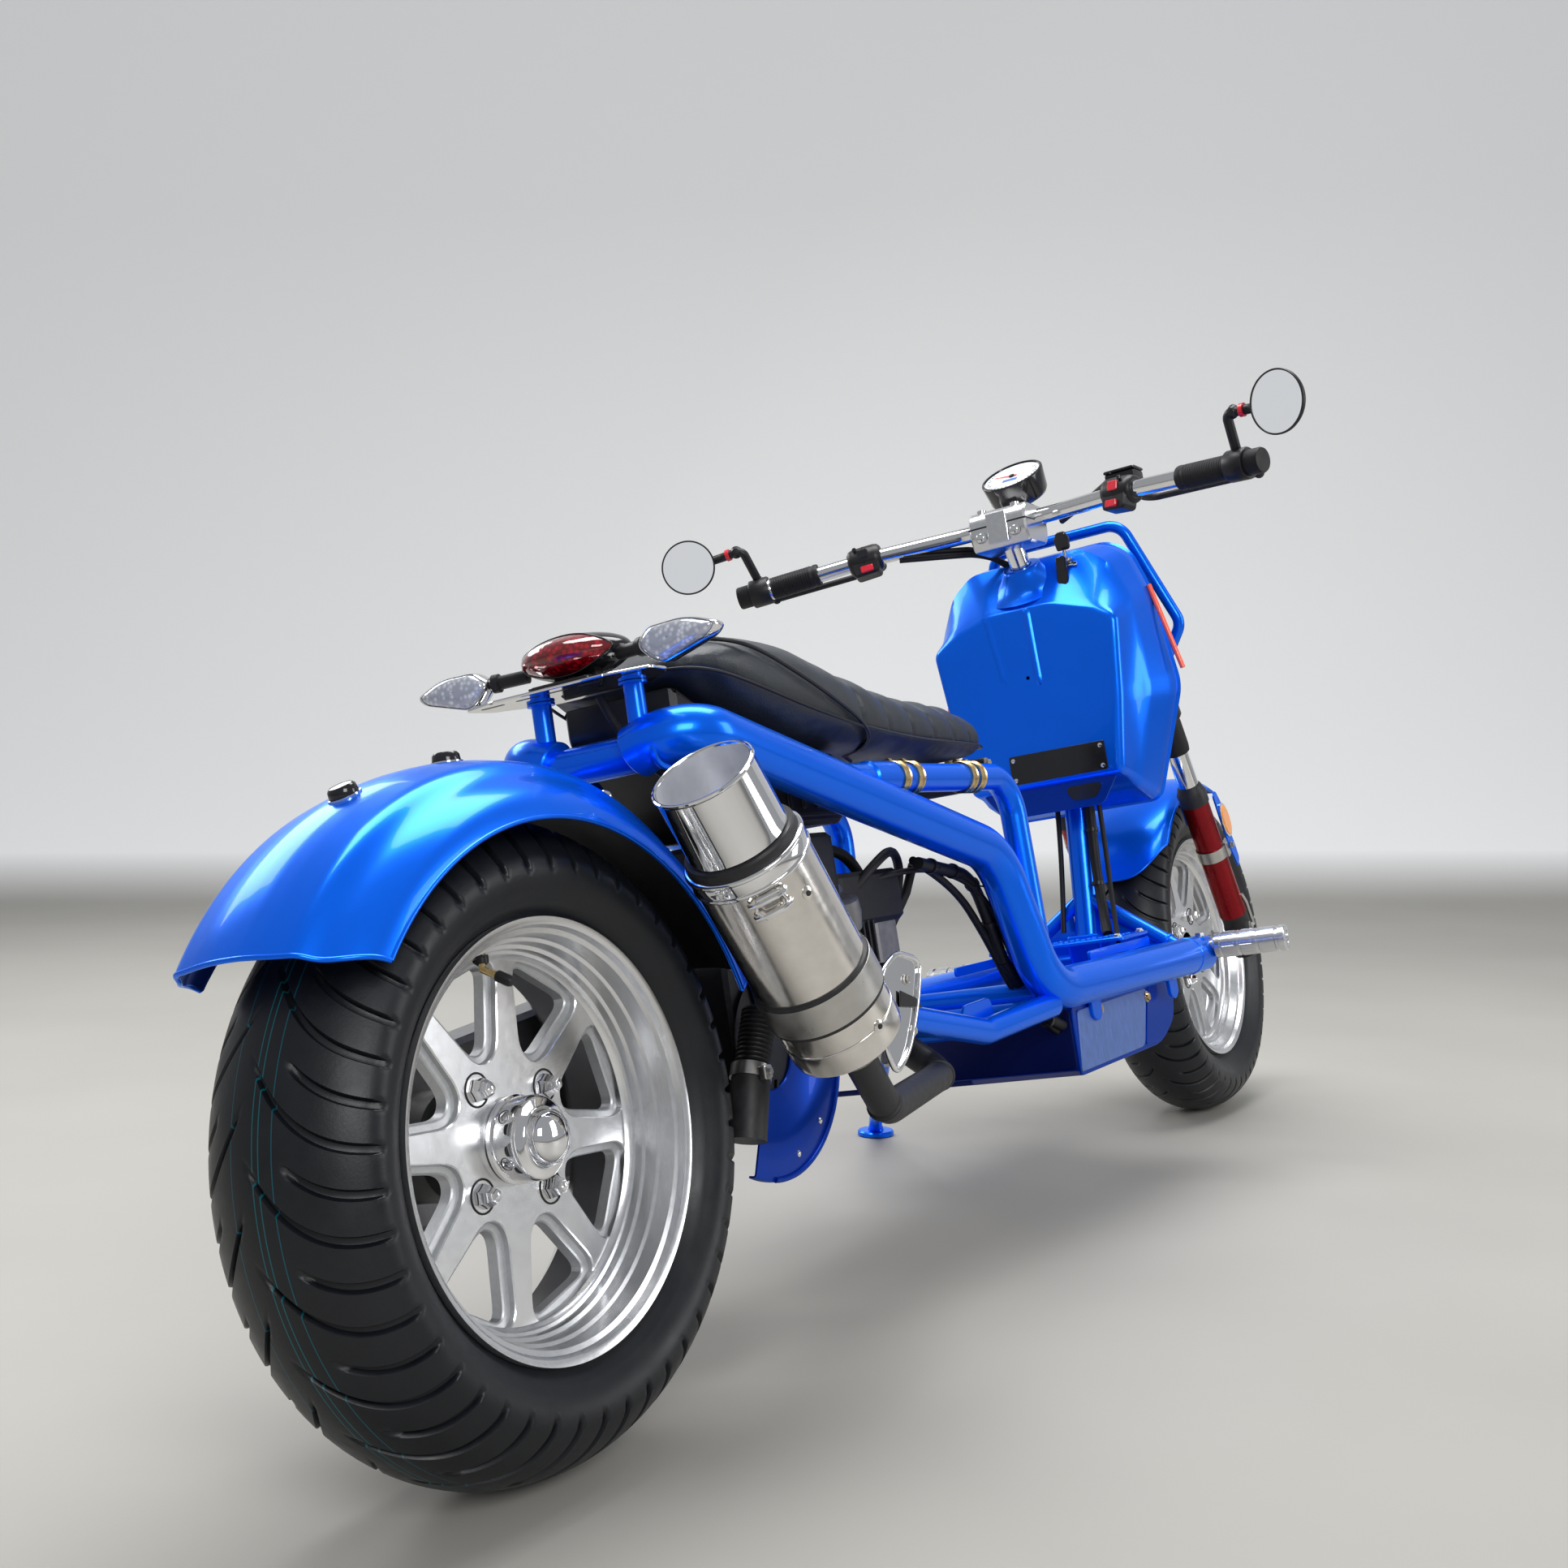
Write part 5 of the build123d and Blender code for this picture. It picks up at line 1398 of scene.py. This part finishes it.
barrel += [brick((296, -66, 372), (470, 84, 462), 16, 5, 3), brick((470, -58, 366), (610, 70, 420), 14, 5, 3)]
barrel += [pipe([(590, -20, 350), (622, -30, 360), (640, -44, 392), (634, -60, 420)], 5, 14, 3)]
piece("cylinder_and_head", barrel, [engine_grey, alloy, steel, rubber], "chassis", ["cylinder"])

case_line = np.array([(x + r * cos(a), z + r * sin(a)) for x, z, r, low, high in ((CRANK[0], CRANK[2], 86, -88, 88),
    (0, 250, 68, 97, 263)) for a in np.radians(np.linspace(low, high, 24))])
case_mid = case_line.mean(0)
drive = [plate("side", case_line, None, -146, -92, 5), plate("side", case_mid + (case_line - case_mid) * 0.86, None,
    -150, -143, 3)]
for x in range(60, 270, 30):
    drive.append(plate("side", [(x, 226), (x + 12, 226), (x + 26, 296), (x + 14, 296)], 3, -151.6, -148))
for k in range(0, 48, 5):
    q = case_mid + (case_line[k] - case_mid) * 0.93
    drive += bolt((q[0], 145.6, q[1]), (0, 1, 0), 4.6, 5, 1)
drive += [lathe([(0, 0), (0, 30), (5, 28), (7, 18), (7, 0)], (CRANK[0], 149, CRANK[2]), (0, 1, 0), 40),
    lathe([(0, 0), (0, 22), (4, 21), (5, 12), (5, 0)], (0, 149, 250), (0, 1, 0), 36),
    pipe([(CRANK[0] - 8, 150, CRANK[2]), (CRANK[0] - 8, 158, CRANK[2]), (CRANK[0] + 20, 160, CRANK[2] + 80),
    (CRANK[0] + 26, 160, CRANK[2] + 108)], 7, 16, 1), lathe([(0, 0), (0, 10), (3, 12), (34, 12), (36, 9), (36, 0)],
    (CRANK[0] + 26, 150, CRANK[2] + 108), (0, 1, 0), 24, 2)]
piece("drive_case_cover", drive, [alloy, steel, rubber], "chassis", ["drive_case"])

BOOT = bent([(292, -62, 307), (262, -62, 252), (242, -62, 200)], [30], 5)
ribs = 1 + 0.10 * (np.sin(np.linspace(0, 14 * pi, 70)) ** 2)
d = np.concatenate([[0], np.cumsum(np.linalg.norm(np.diff(BOOT, axis=0), axis=1))])
fine = np.stack([np.interp(np.linspace(0, d[-1] * 0.5, 70), d, BOOT[:, k]) for k in range(3)], -1)
rest = np.stack([np.interp(np.linspace(d[-1] * 0.48, d[-1], 14), d, BOOT[:, k]) for k in range(3)], -1)
boot_parts = [pipe(fine, 14.6, 30, scale=ribs), pipe(rest, 17.4, 30, 1),
    lathe([(-6, 15), (-6, 18.8), (6, 18.8), (6, 15)], along(BOOT, 0.5)[0], along(BOOT, 0.5)[1], 36, 2),
    brick((250, -86, 250), (262, -78, 262), 2, 1, 2)]
boot_parts += bolt((256, -84, 256), (0, -1, 0), 3.4, 4, 2)
piece("intake_boot_hose", boot_parts, [rubber, black_metal, steel], "chassis", ["intake_boot"])

SHOCK_A, SHOCK_B = vec(8, 176, 345), vec(128, 152, 528)
shock_way = unit(SHOCK_B - SHOCK_A)
shock_long = float(np.linalg.norm(SHOCK_B - SHOCK_A))
shock_parts = [pipe(coil(SHOCK_A + shock_way * 24, SHOCK_B - shock_way * 36, 9, 17.6, 26, (0, 1, 0)), 4.1, 12,
    ref=shock_way), lathe([(0, 0), (0, 14), (8, 15), (10, 22), (16, 22), (18, 13), (shock_long * 0.55, 13),
    (shock_long * 0.56, 7), (shock_long - 30, 7), (shock_long - 28, 22), (shock_long - 20, 22),
    (shock_long - 16, 14), (shock_long, 13), (shock_long, 0)], SHOCK_A, shock_way, 40, 1)]
shock_parts += [lathe([(-13, 5), (-13, 13), (13, 13), (13, 5)], q, (0, 1, 0), 28, 1, closed=True)
    for q in (SHOCK_A + shock_way * 4, SHOCK_B - shock_way * 4)]
piece("shock_absorber", shock_parts, [chrome, black_metal], "chassis", ["shock"])
bracket = [lathe([(13, 0), (13, 14.4), (21, 14.4), (21, 0)], STAND, SWING, 30),
    lathe([(-21, 0), (-21, 6), (21, 6), (21, 0)], STAND, SWING, 22, 1), lathe([(-23, 0), (-23, 9), (-17, 9),
    (-17, 0)], STAND, SWING, 6, 1), pipe([STAND + SWING * 19.5, (880, 130, 246), (880, 126, 262)], 5.8, 20,
    ref=(1, 0, 0))]
piece("stand_bracket_lug", bracket, [blue, steel], "chassis", ["stand_bracket"])

# %% [markdown]
# ## Fork
# Everything on the fork is placed by its distance up the leg from the axle.

# %% Fork legs, yoke and brake
def on_leg(s, profile, n, slot, closed=False):
    """A turned part on the fork leg of side s."""
    return lathe(profile, fork(0, s * FORK_Y), UP_FORK, n, slot, closed=closed)


for name, s in SIDES:
    leg = [on_leg(s, [(-22, 0), (-22, 13), (-19, 18), (-12, 20), (30, 20), (34, 18.6), (46, 18.6), (50, 20),
        (52, 20)], 40, 1), on_leg(s, [(50, 18), (50, 20), (246, 20), (250, 21.4), (255, 21.4), (256, 20.6)], 44, 0),
        on_leg(s, [(244, 20), (244, 21.6), (262, 21.6), (266, 19.4), (272, 17.6), (275, 15.2)], 44, 2),
        on_leg(s, [(150, 20), (150, 21.6), (168, 21.6), (168, 20)], 44, 3),
        slab(rounded(box(-6, -12, 14, 12), 3, closed=True), fork(159, s * (FORK_Y + 22), 4), AHEAD, UP_FORK, -3, 3,
        0.8, 3)]
    holder = [(0, 118), (15, 126), (16, 150), (12, 190), (16, 222), (8, 246), (-6, 244), (-8, 205), (-8, 160)]
    leg.append(slab(rounded(holder, 5, closed=True), fork(0, s * (FORK_Y + 25)) + AHEAD * 18, AHEAD, UP_FORK, -1.4,
        1.4, 0.6, 4))
    eye = np.array([(17 * cos(t), 28 * sin(t)) for t in np.linspace(0, 2 * pi, 40, endpoint=False)])
    for grow, depth_, m in ((1.0, 2.4, 5), (0.86, 3.6, 6)):
        leg.append(slab(eye * grow, fork(196, s * (FORK_Y + 26.4)) + AHEAD * 25, AHEAD * -s, UP_FORK, -0.4, depth_,
            0.9, m))
    leg += bolt(fork(159, s * (FORK_Y + 27), 14), (0, s, 0), 4, 4, 3)
    leg += bolt(fork(26, s * (FORK_Y + 19), 0), (0, s, 0), 5, 4, 3)
    leg.append(pipe(vec(fork(78, s * (FORK_Y + 20), 6), fork(62, s * (FORK_Y + 22), 9),
        fork(20, s * (FORK_Y + 21), 12)), 2.6, 12, 3))
    piece("fork_leg_" + name, leg, [red_leg, black, black_metal, steel, blue, chrome, amber], "steering",
        ["fork_" + name], sharp=32)

yoke = []
for s in (-1, 1):
    yoke += [on_leg(s, [(60, 0), (60, 14.9), (378, 14.9), (432, 14.9), (434, 13), (434, 0)], 36, 0),
        on_leg(s, [(384, 14), (384, 22), (387, 24), (428, 24), (431, 22), (431, 14)], 36, 1),
        on_leg(s, [(431, 0), (431, 17), (436, 17), (440, 12), (440, 0)], 6, 0),
        on_leg(s, [(330, 14.9), (330, 18.6), (338, 19.6), (376, 19.6), (384, 18.6), (384, 14.9)], 36, 2)]
yoke += [pipe(vec(fork(409, -FORK_Y), fork(409, 0), fork(409, FORK_Y)), 17, 30, 1, ref=UP_FORK),
    slab(rounded([(-FORK_Y - 4, -18), (FORK_Y + 4, -18), (46, 20), (28, 92), (-28, 92), (-46, 20)], 12,
    closed=True), fork(409, 0, 0), (0, 1, 0), -AHEAD, -9, 9, 2, 1), lathe([(405, 0), (405, 14), (735, 14),
    (735, 0)], fork(0, 0, -OFFSET), UP_FORK, 32)]
piece("fork_yoke_and_stem", yoke, [chrome, black_metal, rubber], "steering", ["fork_crown"])

axle = [cross_tube(WHEELBASE, LIFT, 118, 7)]
for s in (-1, 1):
    axle += [lathe([(0, 0), (0, 13), (2, 13), (2.2, 0)], FRONT_AXLE + [0, s * 117, 0], (0, s, 0), 26),
        lathe([(2, 0), (2, 11.4), (10, 11.4), (11.4, 9), (11.4, 0)], FRONT_AXLE + [0, s * 117, 0], (0, s, 0), 6, 1),
        lathe([(0, 7), (0, 14), (6, 15), (40, 15), (42, 12)], FRONT_AXLE + [0, s * 34, 0], (0, s, 0), 30)]
piece("front_axle_bolt", axle, [steel, chrome], "steering", ["front_axle"])

caliper_at = fork(96, 0, -50)
cal = placed([brick((-26, 59.5, -24), (26, 76, 24), 7, 2.5), brick((-26, 47, -24), (26, 50, 24), 7),
    brick((-26, 49, 18.5), (26, 62, 24), 4)], caliper_at)
cal += [lathe([(0, 0), (0, 13), (3, 12.4), (4.6, 10), (4.6, 0)], caliper_at + [x, 75.4, 0], (0, 1, 0), 30)
    for x in (-12, 13)]
cal += bolts([caliper_at + [0, 75.5, z] for z in (17, -17)], (0, 1, 0), 4, 4, 1)
piece("brake_caliper_body", cal, [alloy, steel], "steering", ["brake_caliper"])

# %% [markdown]
# ## Handlebar and controls

# %% Bars, clamp, grips, switches and mirrors
BARS = bent([(1088, -378, 844), (1150, -190, 864), (1192, -70, 870), (1192, 70, 870), (1150, 190, 864),
    (1088, 378, 844)], [120, 60, 60, 120], 4)
bar_parts = [pipe(BARS, 11, 28, ref=(0, 0, 1))]
bar_parts += [plate("side", [(1158, 834), (1218, 834), (1226, 852), (1224, 888), (1160, 890), (1150, 876),
    (1150, 852)], [6, 8, 6, 9, 9, 6, 6], -42, 42, 2.8, 1, steps=5), plate("side", box(1149.6, 865, 1225.6, 867),
    None, -42.2, 42.2, 0.2, 2), brick((1148.4, -15, 840), (1152, 15, 882), 2, 0.8, 1)]
for y in (-25, 25):
    for x in (1164, 1212):
        bar_parts.append(lathe([(0, 0), (0, 6.4), (4.6, 6.4), (5.4, 5.4), (5.4, 3.4), (3, 3.2), (3, 0)],
            (x, y, 886.6), (0, 0, 1), 20))
    bar_parts += bolt((1149.6, y, 852), (-1, 0, 0), 6, 5)
piece("handlebar_and_clamp", bar_parts, [chrome, machined, black], "steering", ["handlebar"])

for name, s in SIDES:
    outer, inner_ = vec(1088, s * 378, 844), vec(1150, s * 190, 864)
    way = unit(outer - inner_)
    span = float(np.linalg.norm(outer - inner_))
    grip_profile = [(82, 11), (82, 15.4), (84, 16), (88, 16), (89, 15.2), (91, 15.2)]
    for k in range(16):
        grip_profile += [(93 + 3.6 * k, 15.9), (95 + 3.6 * k, 15.9), (95.6 + 3.6 * k, 15.2), (96 + 3.6 * k, 15.2)]
    grip_profile += [(152, 16), (153, 14.4), (153, 11)]
    grip = [lathe(grip_profile, inner_, way, 40), lathe([(152.6, 11), (152.6, 14.6), (154, 15.4), (160, 15.4),
        (161.4, 14.6), (161.4, 11)], inner_, way, 40, 1), lathe([(161, 11), (161, 15.6), (163, 16), (span + 2, 16),
        (span + 4, 15), (span + 4.2, 0)], inner_, way, 40)]
    piece("grip_" + name + "_rubber", grip, [rubber, chrome], "steering", ["grip_" + name])

    shift = -36 if s < 0 else -11
    pod = [lathe([(shift, 11), (shift, 15), (shift + 3, 18.6), (shift + 9, 20), (shift + 25, 20.2),
        (shift + 40, 19.6), (shift + 45, 18), (shift + 48, 14), (shift + 48, 11)], inner_, way, 40),
        lathe([(shift + 23.4, 19.6), (shift + 23.6, 20.6), (shift + 24.4, 20.6), (shift + 24.6, 19.6)], inner_, way,
        40, 2)]
    at = inner_ + way * (shift + 24)
    face_ = vec(-1, 0, 0.12)
    face_ = unit(face_ - way * (face_ @ way))
    tall = np.cross(face_, way) * (1 if np.cross(face_, way)[2] > 0 else -1)
    belly = rounded([(-19, -26), (18, -27), (21, 4), (-21, 6)], 6, closed=True)
    pod.append(slab(belly, at + face_ * 4, way, tall, -14, 14, 3))
    sign_ = 1 if np.cross(way, tall) @ face_ > 0 else -1
    for a, b, wide_, high_, m in ((-2, -19, 9, 4.6, 1), (0, 4, 8, 6.4, 1 if s < 0 else 2), (10, 13, 3, 3, 2)):
        lo_, hi_ = sorted((sign_ * 17, sign_ * (21.6 if m == 1 else 21)))
        pod.append(slab(rounded(box(a - wide_, b - high_, a + wide_, b + high_), 2.4, closed=True), at, way, tall,
            lo_, hi_, 1, m))
    pod.append(lathe([(-7, 0), (-7, 8.6), (7, 8.6), (7, 0)], inner_ + way * 4 + [9, 0, -2], (0, 0, 1), 24))
    lever = bent([inner_ + [8, 0, -2], inner_ + way * 12 + [55, 0, -6], outer + [62, -s * 20, -2]], [15], 6)
    size_ = np.linspace(1.15, 0.86, len(lever))
    pod += [pipe(lever, 5.0, 18, 3, ref=(0, 0, 1), scale=size_), lathe([(-6.6, 0), (-5.6, 3.6), (-3, 5.9), (0, 6.6),
        (3, 5.9), (5.6, 3.6), (6.6, 0)], lever[-1], lever[-1] - lever[-2], 24, 3)]
    if s < 0:
        pod += placed([brick((-17, -21, -10), (17, 21, 8), 4, 2), brick((-18, -22, 8), (18, 22, 12), 4, 1.2, 2)],
            at + [30, 4, 22])
        pod.append(pipe([at + [16, 4, 6], at + [26, 4, 14]], 6, 14))
    piece("switch_pod_" + name, pod, [black, red_switch, gloss_black, black_metal], "steering", ["switch_" + name])

    head_at, foot_at = vec(1031, s * 424, 894), vec(1097, s * 350, 858)
    look = unit(vec(-0.91, -s * 0.40, -0.07))
    arm = bent([foot_at, (1066, s * 353, 906), (1060, s * 384, 902), head_at - look * 8], [10, 10], 8)
    knuckle, ring_at = vec(1064, s * 362, 905), vec(1061.6, s * 374, 903.4)
    mirror_parts = [pipe(arm, 6.2, 20), lathe([(-7, 0), (-6, 5), (0, 9), (6, 5), (7, 0)], knuckle, look, 24),
        lathe([(-2.6, 5), (-2.6, 8.4), (2.6, 8.4), (2.6, 5)], ring_at, (-0.2, s, -0.12), 28, 2, closed=True),
        lathe([(-14, 16.2), (-14, 19), (-12.6, 20), (12.6, 20), (14, 19), (14, 16.2)], foot_at - [0, 0, 11], way,
        40, closed=True), lathe([(-9, 0), (-9, 24), (-8, 31), (-5, 36.0), (-1, 38.2), (2.2, 38.6), (3.4, 38.0),
        (3.4, 36.6), (2.4, 36.2)], head_at, look, 72), lathe([(2.2, 0), (2.2, 36.5)], head_at, look, 72, 1)]
    mirror_parts += bolt(foot_at + [0, 0, 9], (0, 0, 1), 4, 3, 3)
    piece("mirror_unit_" + name, mirror_parts, [black, mirror_glass, red_switch, steel], "steering",
        ["mirror_" + name])

# %% Speedometer
DIAL, TILT = vec(1231, 0, 945), unit(vec(-0.55, 0, 0.83))
meter = [lathe([(-38, 0), (-38, 34), (-36, 38), (-31, 41), (-10, 43.4), (-3, 44.4), (-0.6, 44.4), (0.6, 43.4),
    (0.8, 41), (-1.4, 40.2)], DIAL, TILT, 72), lathe([(-1.6, 0), (-1.6, 40.4)], DIAL, TILT, 72, 1)]
flat_x = unit(np.cross((0, 1, 0), TILT))


def on_dial(outline, degrees, low, high, bevel, slot):
    """A sliver of plate that points outwards from the dial's middle."""
    radial = flat_x * -cos(radians(degrees)) + vec(0, -1, 0) * sin(radians(degrees))
    return slab(outline, DIAL, radial, np.cross(TILT, radial), low, high, bevel, slot)


meter += [on_dial(box(31 if k % 3 == 0 else 33.6, -0.5, 37, 0.5), 10 * k - 120, -1.7, -1.1, 0.1, 0)
    for k in range(25)]
meter += [on_dial([(-8, -1.4), (27, -0.5), (27, 0.5), (-8, 1.4)], -100, -0.9, 0.1, 0.2, 2),
    lathe([(-1.4, 0), (-1.4, 4.4), (0.5, 4), (0.9, 0)], DIAL, TILT, 24), slab(box(-16, -11, -8, 11), DIAL, flat_x,
    (0, 1, 0), -1.7, -1.2, 0.1, 3)]
meter += [lathe([(-36, 0), (-36, 26), (-33.5, 26), (-33.5, 0)], DIAL, TILT, 40, 4),
    pipe([DIAL - TILT * 30, (1232, 0, 906), (1218, 0, 886)], 8, 20, 4), plate("side",
    [(1196, 887), (1240, 887), (1252, 922), (1236, 926)], 6, -13, 13, 1.5, 4)]
piece("speedometer", meter, [gloss_black, dial_white, red_strip, panel_grey, machined], "steering", ["gauge"])

# %% [markdown]
# ## Lamps and guard at the front

# %% Headlamps and guard
lamp_parts = []
for s in (-1, 1):
    c = vec(1305, s * 78, 735)
    lamp_parts += [lathe([(0, 0), (0, 26), (6, 34), (22, 42), (50, 45.6), (78, 46), (84, 45.4), (85, 43)], c,
        (1, 0, 0), 60), lathe([(80, 44), (81, 46.6), (87, 46.6), (87.6, 45), (86.4, 42.6), (80, 42)], c, (1, 0, 0),
        60, 1, closed=True), lathe([(79, 42.6), (82, 40), (84.6, 30), (86.4, 16), (87, 0)], c, (1, 0, 0), 60, 2)]
    lamp_parts += bolt(c + [30, 0, 44], (0, 0, 1), 4, 4, 3)
lamp_parts += [cross_tube(1355, 735, 40, 8, 22, 3), plate("back", box(-30, -16, 30, 16), 8, 0, 6, 1, 3,
    at=(1301, 0, 735)), pipe([(1303, 0, 735), (1330, 0, 735), (1355, 0, 735)], 9, 20, 3)]
piece("headlamp_pair", lamp_parts, [gloss_black, chrome, clear_lens, black_metal], "chassis", ["headlamps"],
    sharp=30)
HOOP = bent([(1398, -106, 645), (1390, -152, 712), (1358, -98, 866), (1358, 98, 866), (1390, 152, 712),
    (1398, 106, 645)], [25, 30, 30, 25], 6)
hoop_parts = [pipe(HOOP, 8, 24, ref=(1, 0, 0)), cap_end(HOOP[0], HOOP[0] - HOOP[1], 8),
    cap_end(HOOP[-1], HOOP[-1] - HOOP[-2], 8)]
for s in (-1, 1):
    hoop_parts += [pipe([(1301, s * 62.5, 650), (1350, s * 87, 650), (1398, s * 108, 650)], 7, 20, ref=(0, 0, 1)),
        weld_ring((1390, s * 104, 650), (0.89, s * 0.45, 0), 7, high=1.6),
        lathe([(0, 0), (0, 15), (3, 15), (4, 13), (4, 7)], (1300, s * 62, 650), (0.89, s * 0.45, 0), 28)]
piece("lamp_guard_hoop", hoop_parts, [blue], "chassis", ["lamp_guard"])

# %% [markdown]
# ## Cables and hoses
# The cables that are held at both ends follow the same route points as the CAD, as smooth
# curves. Zip ties are short collars across them.

# %% Control cable, wiring and hoses
def cable(name, points, radius, body, replaces=()):
    """A NURBS curve through the route, with a round section."""
    data = bpy.data.curves.new(name, "CURVE")
    data.dimensions, data.bevel_depth, data.bevel_resolution = "3D", radius / 1000, 3
    data.use_fill_caps = True
    line = data.splines.new("NURBS")
    line.points.add(len(points) - 1)
    for q, at in zip(line.points, parked(points)):
        q.co = (*at, 1)
    line.order_u, line.use_endpoint_u = 3, True
    line.resolution_u = 10
    data.materials.append(rubber)
    handed_over(bpy.data.objects.new(name, data), body, replaces)


cable("control_cable_run", [(1164, -158, 884), (1216, -124, 886), (1268, -48, 872)], 4.6, "steering",
    ["control_cables"])
for k, (y0, z0) in enumerate(((0, 0), (7, -3), (3, 6))):
    cable(f"bar_cable_{k}", [(1160, 150 + y0, 856 + z0), (1188, 96, 850 + z0), (1214, 52, 846 + z0),
        (1232, 30 - y0, 822)], 3.4, "steering")
cable("right_brake_hose", [(1192, -160, 886), (1200, -140, 870), (1204, -112, 864), (1207, -72, 867),
    (1212, -44, 868)], 3.0, "steering")
harness = bent([(600, -84, 420), (720, -84, 400), (770, -84, 300)], [60], 6)
loom = [pipe(harness, 6.6, 20, ref=(0, 1, 0))]
for share in (0.12, 0.34, 0.55, 0.78):
    q, w = along(harness, share)
    loom.append(lathe([(-2.2, 6.4), (-2.2, 8.4), (2.2, 8.4), (2.2, 6.4)], q, w, 22, 1))
    loom.append(slab([(0, -1.2), (13, -1), (13, 1), (0, 1.2)], q, (0.1, -0.9, -0.3), w, -0.6, 0.6, 0.2, 1))
piece("wiring_loom", loom, [rubber, black], "chassis", ["wiring_harness"])
RUNS = [
    # name, radius, route
    ("loom_to_floor", 7, [(770, -84, 300), (800, -88, 262), (842, -90, 226), (884, -92, 212)]),
    ("loom_second", 4.5, [(604, -76, 424), (690, -74, 396), (752, -76, 330), (800, -80, 250), (880, -86, 206)]),
    ("down_tube_hose", 7, [(1262, -22, 520), (1258, -24, 470), (1244, -24, 400), (1228, -30, 330),
                           (1206, -40, 298)]),
    ("down_tube_cable", 3.6, [(1262, 22, 520), (1256, 24, 460), (1238, 25, 380), (1224, 30, 306)]),
    ("throttle_run", 3.4, [(1258, -38, 520), (1246, -42, 430), (1220, -48, 330), (1188, -60, 268), (1140, -80, 240),
                           (900, -96, 240), (842, -96, 236), (806, -94, 258), (776, -92, 304), (742, -90, 370),
                           (690, -82, 404), (600, -62, 420), (480, -40, 398)]),
    ("fuel_hose", 5, [(500, -46, 392), (540, -70, 430), (600, -60, 440), (640, -40, 402), (610, -30, 350)]),
    ("breather_hose", 6, [(420, 20, 372), (440, -10, 430), (500, -30, 452), (560, -36, 430), (584, -30, 384)]),
    ("tail_lead", 4, [(196, -8, 600), (202, -20, 560), (226, -46, 520), (280, -60, 492), (360, -56, 476)]),
]
for name, radius, route in RUNS:
    cable(name, route, radius, "chassis")
ties = [lathe([(-2.4, r - 2), (-2.4, r), (2.4, r), (2.4, r - 2)], at, toward, 24)
    for at, toward, r in (((1252, -24, 440), (0.1, 0, 1), 8.4), ((1236, -26, 366), (0.2, 0, 1), 8.4),
    ((848, -90, 223), (1, 0, -0.4), 9))]
piece("hose_ties", ties, [black], "chassis")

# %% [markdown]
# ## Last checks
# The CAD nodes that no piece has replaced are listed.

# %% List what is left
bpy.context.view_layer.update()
left = [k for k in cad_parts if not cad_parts[k].hide_render]
print(len(DONE), "pieces;", "CAD nodes still shown:", left)
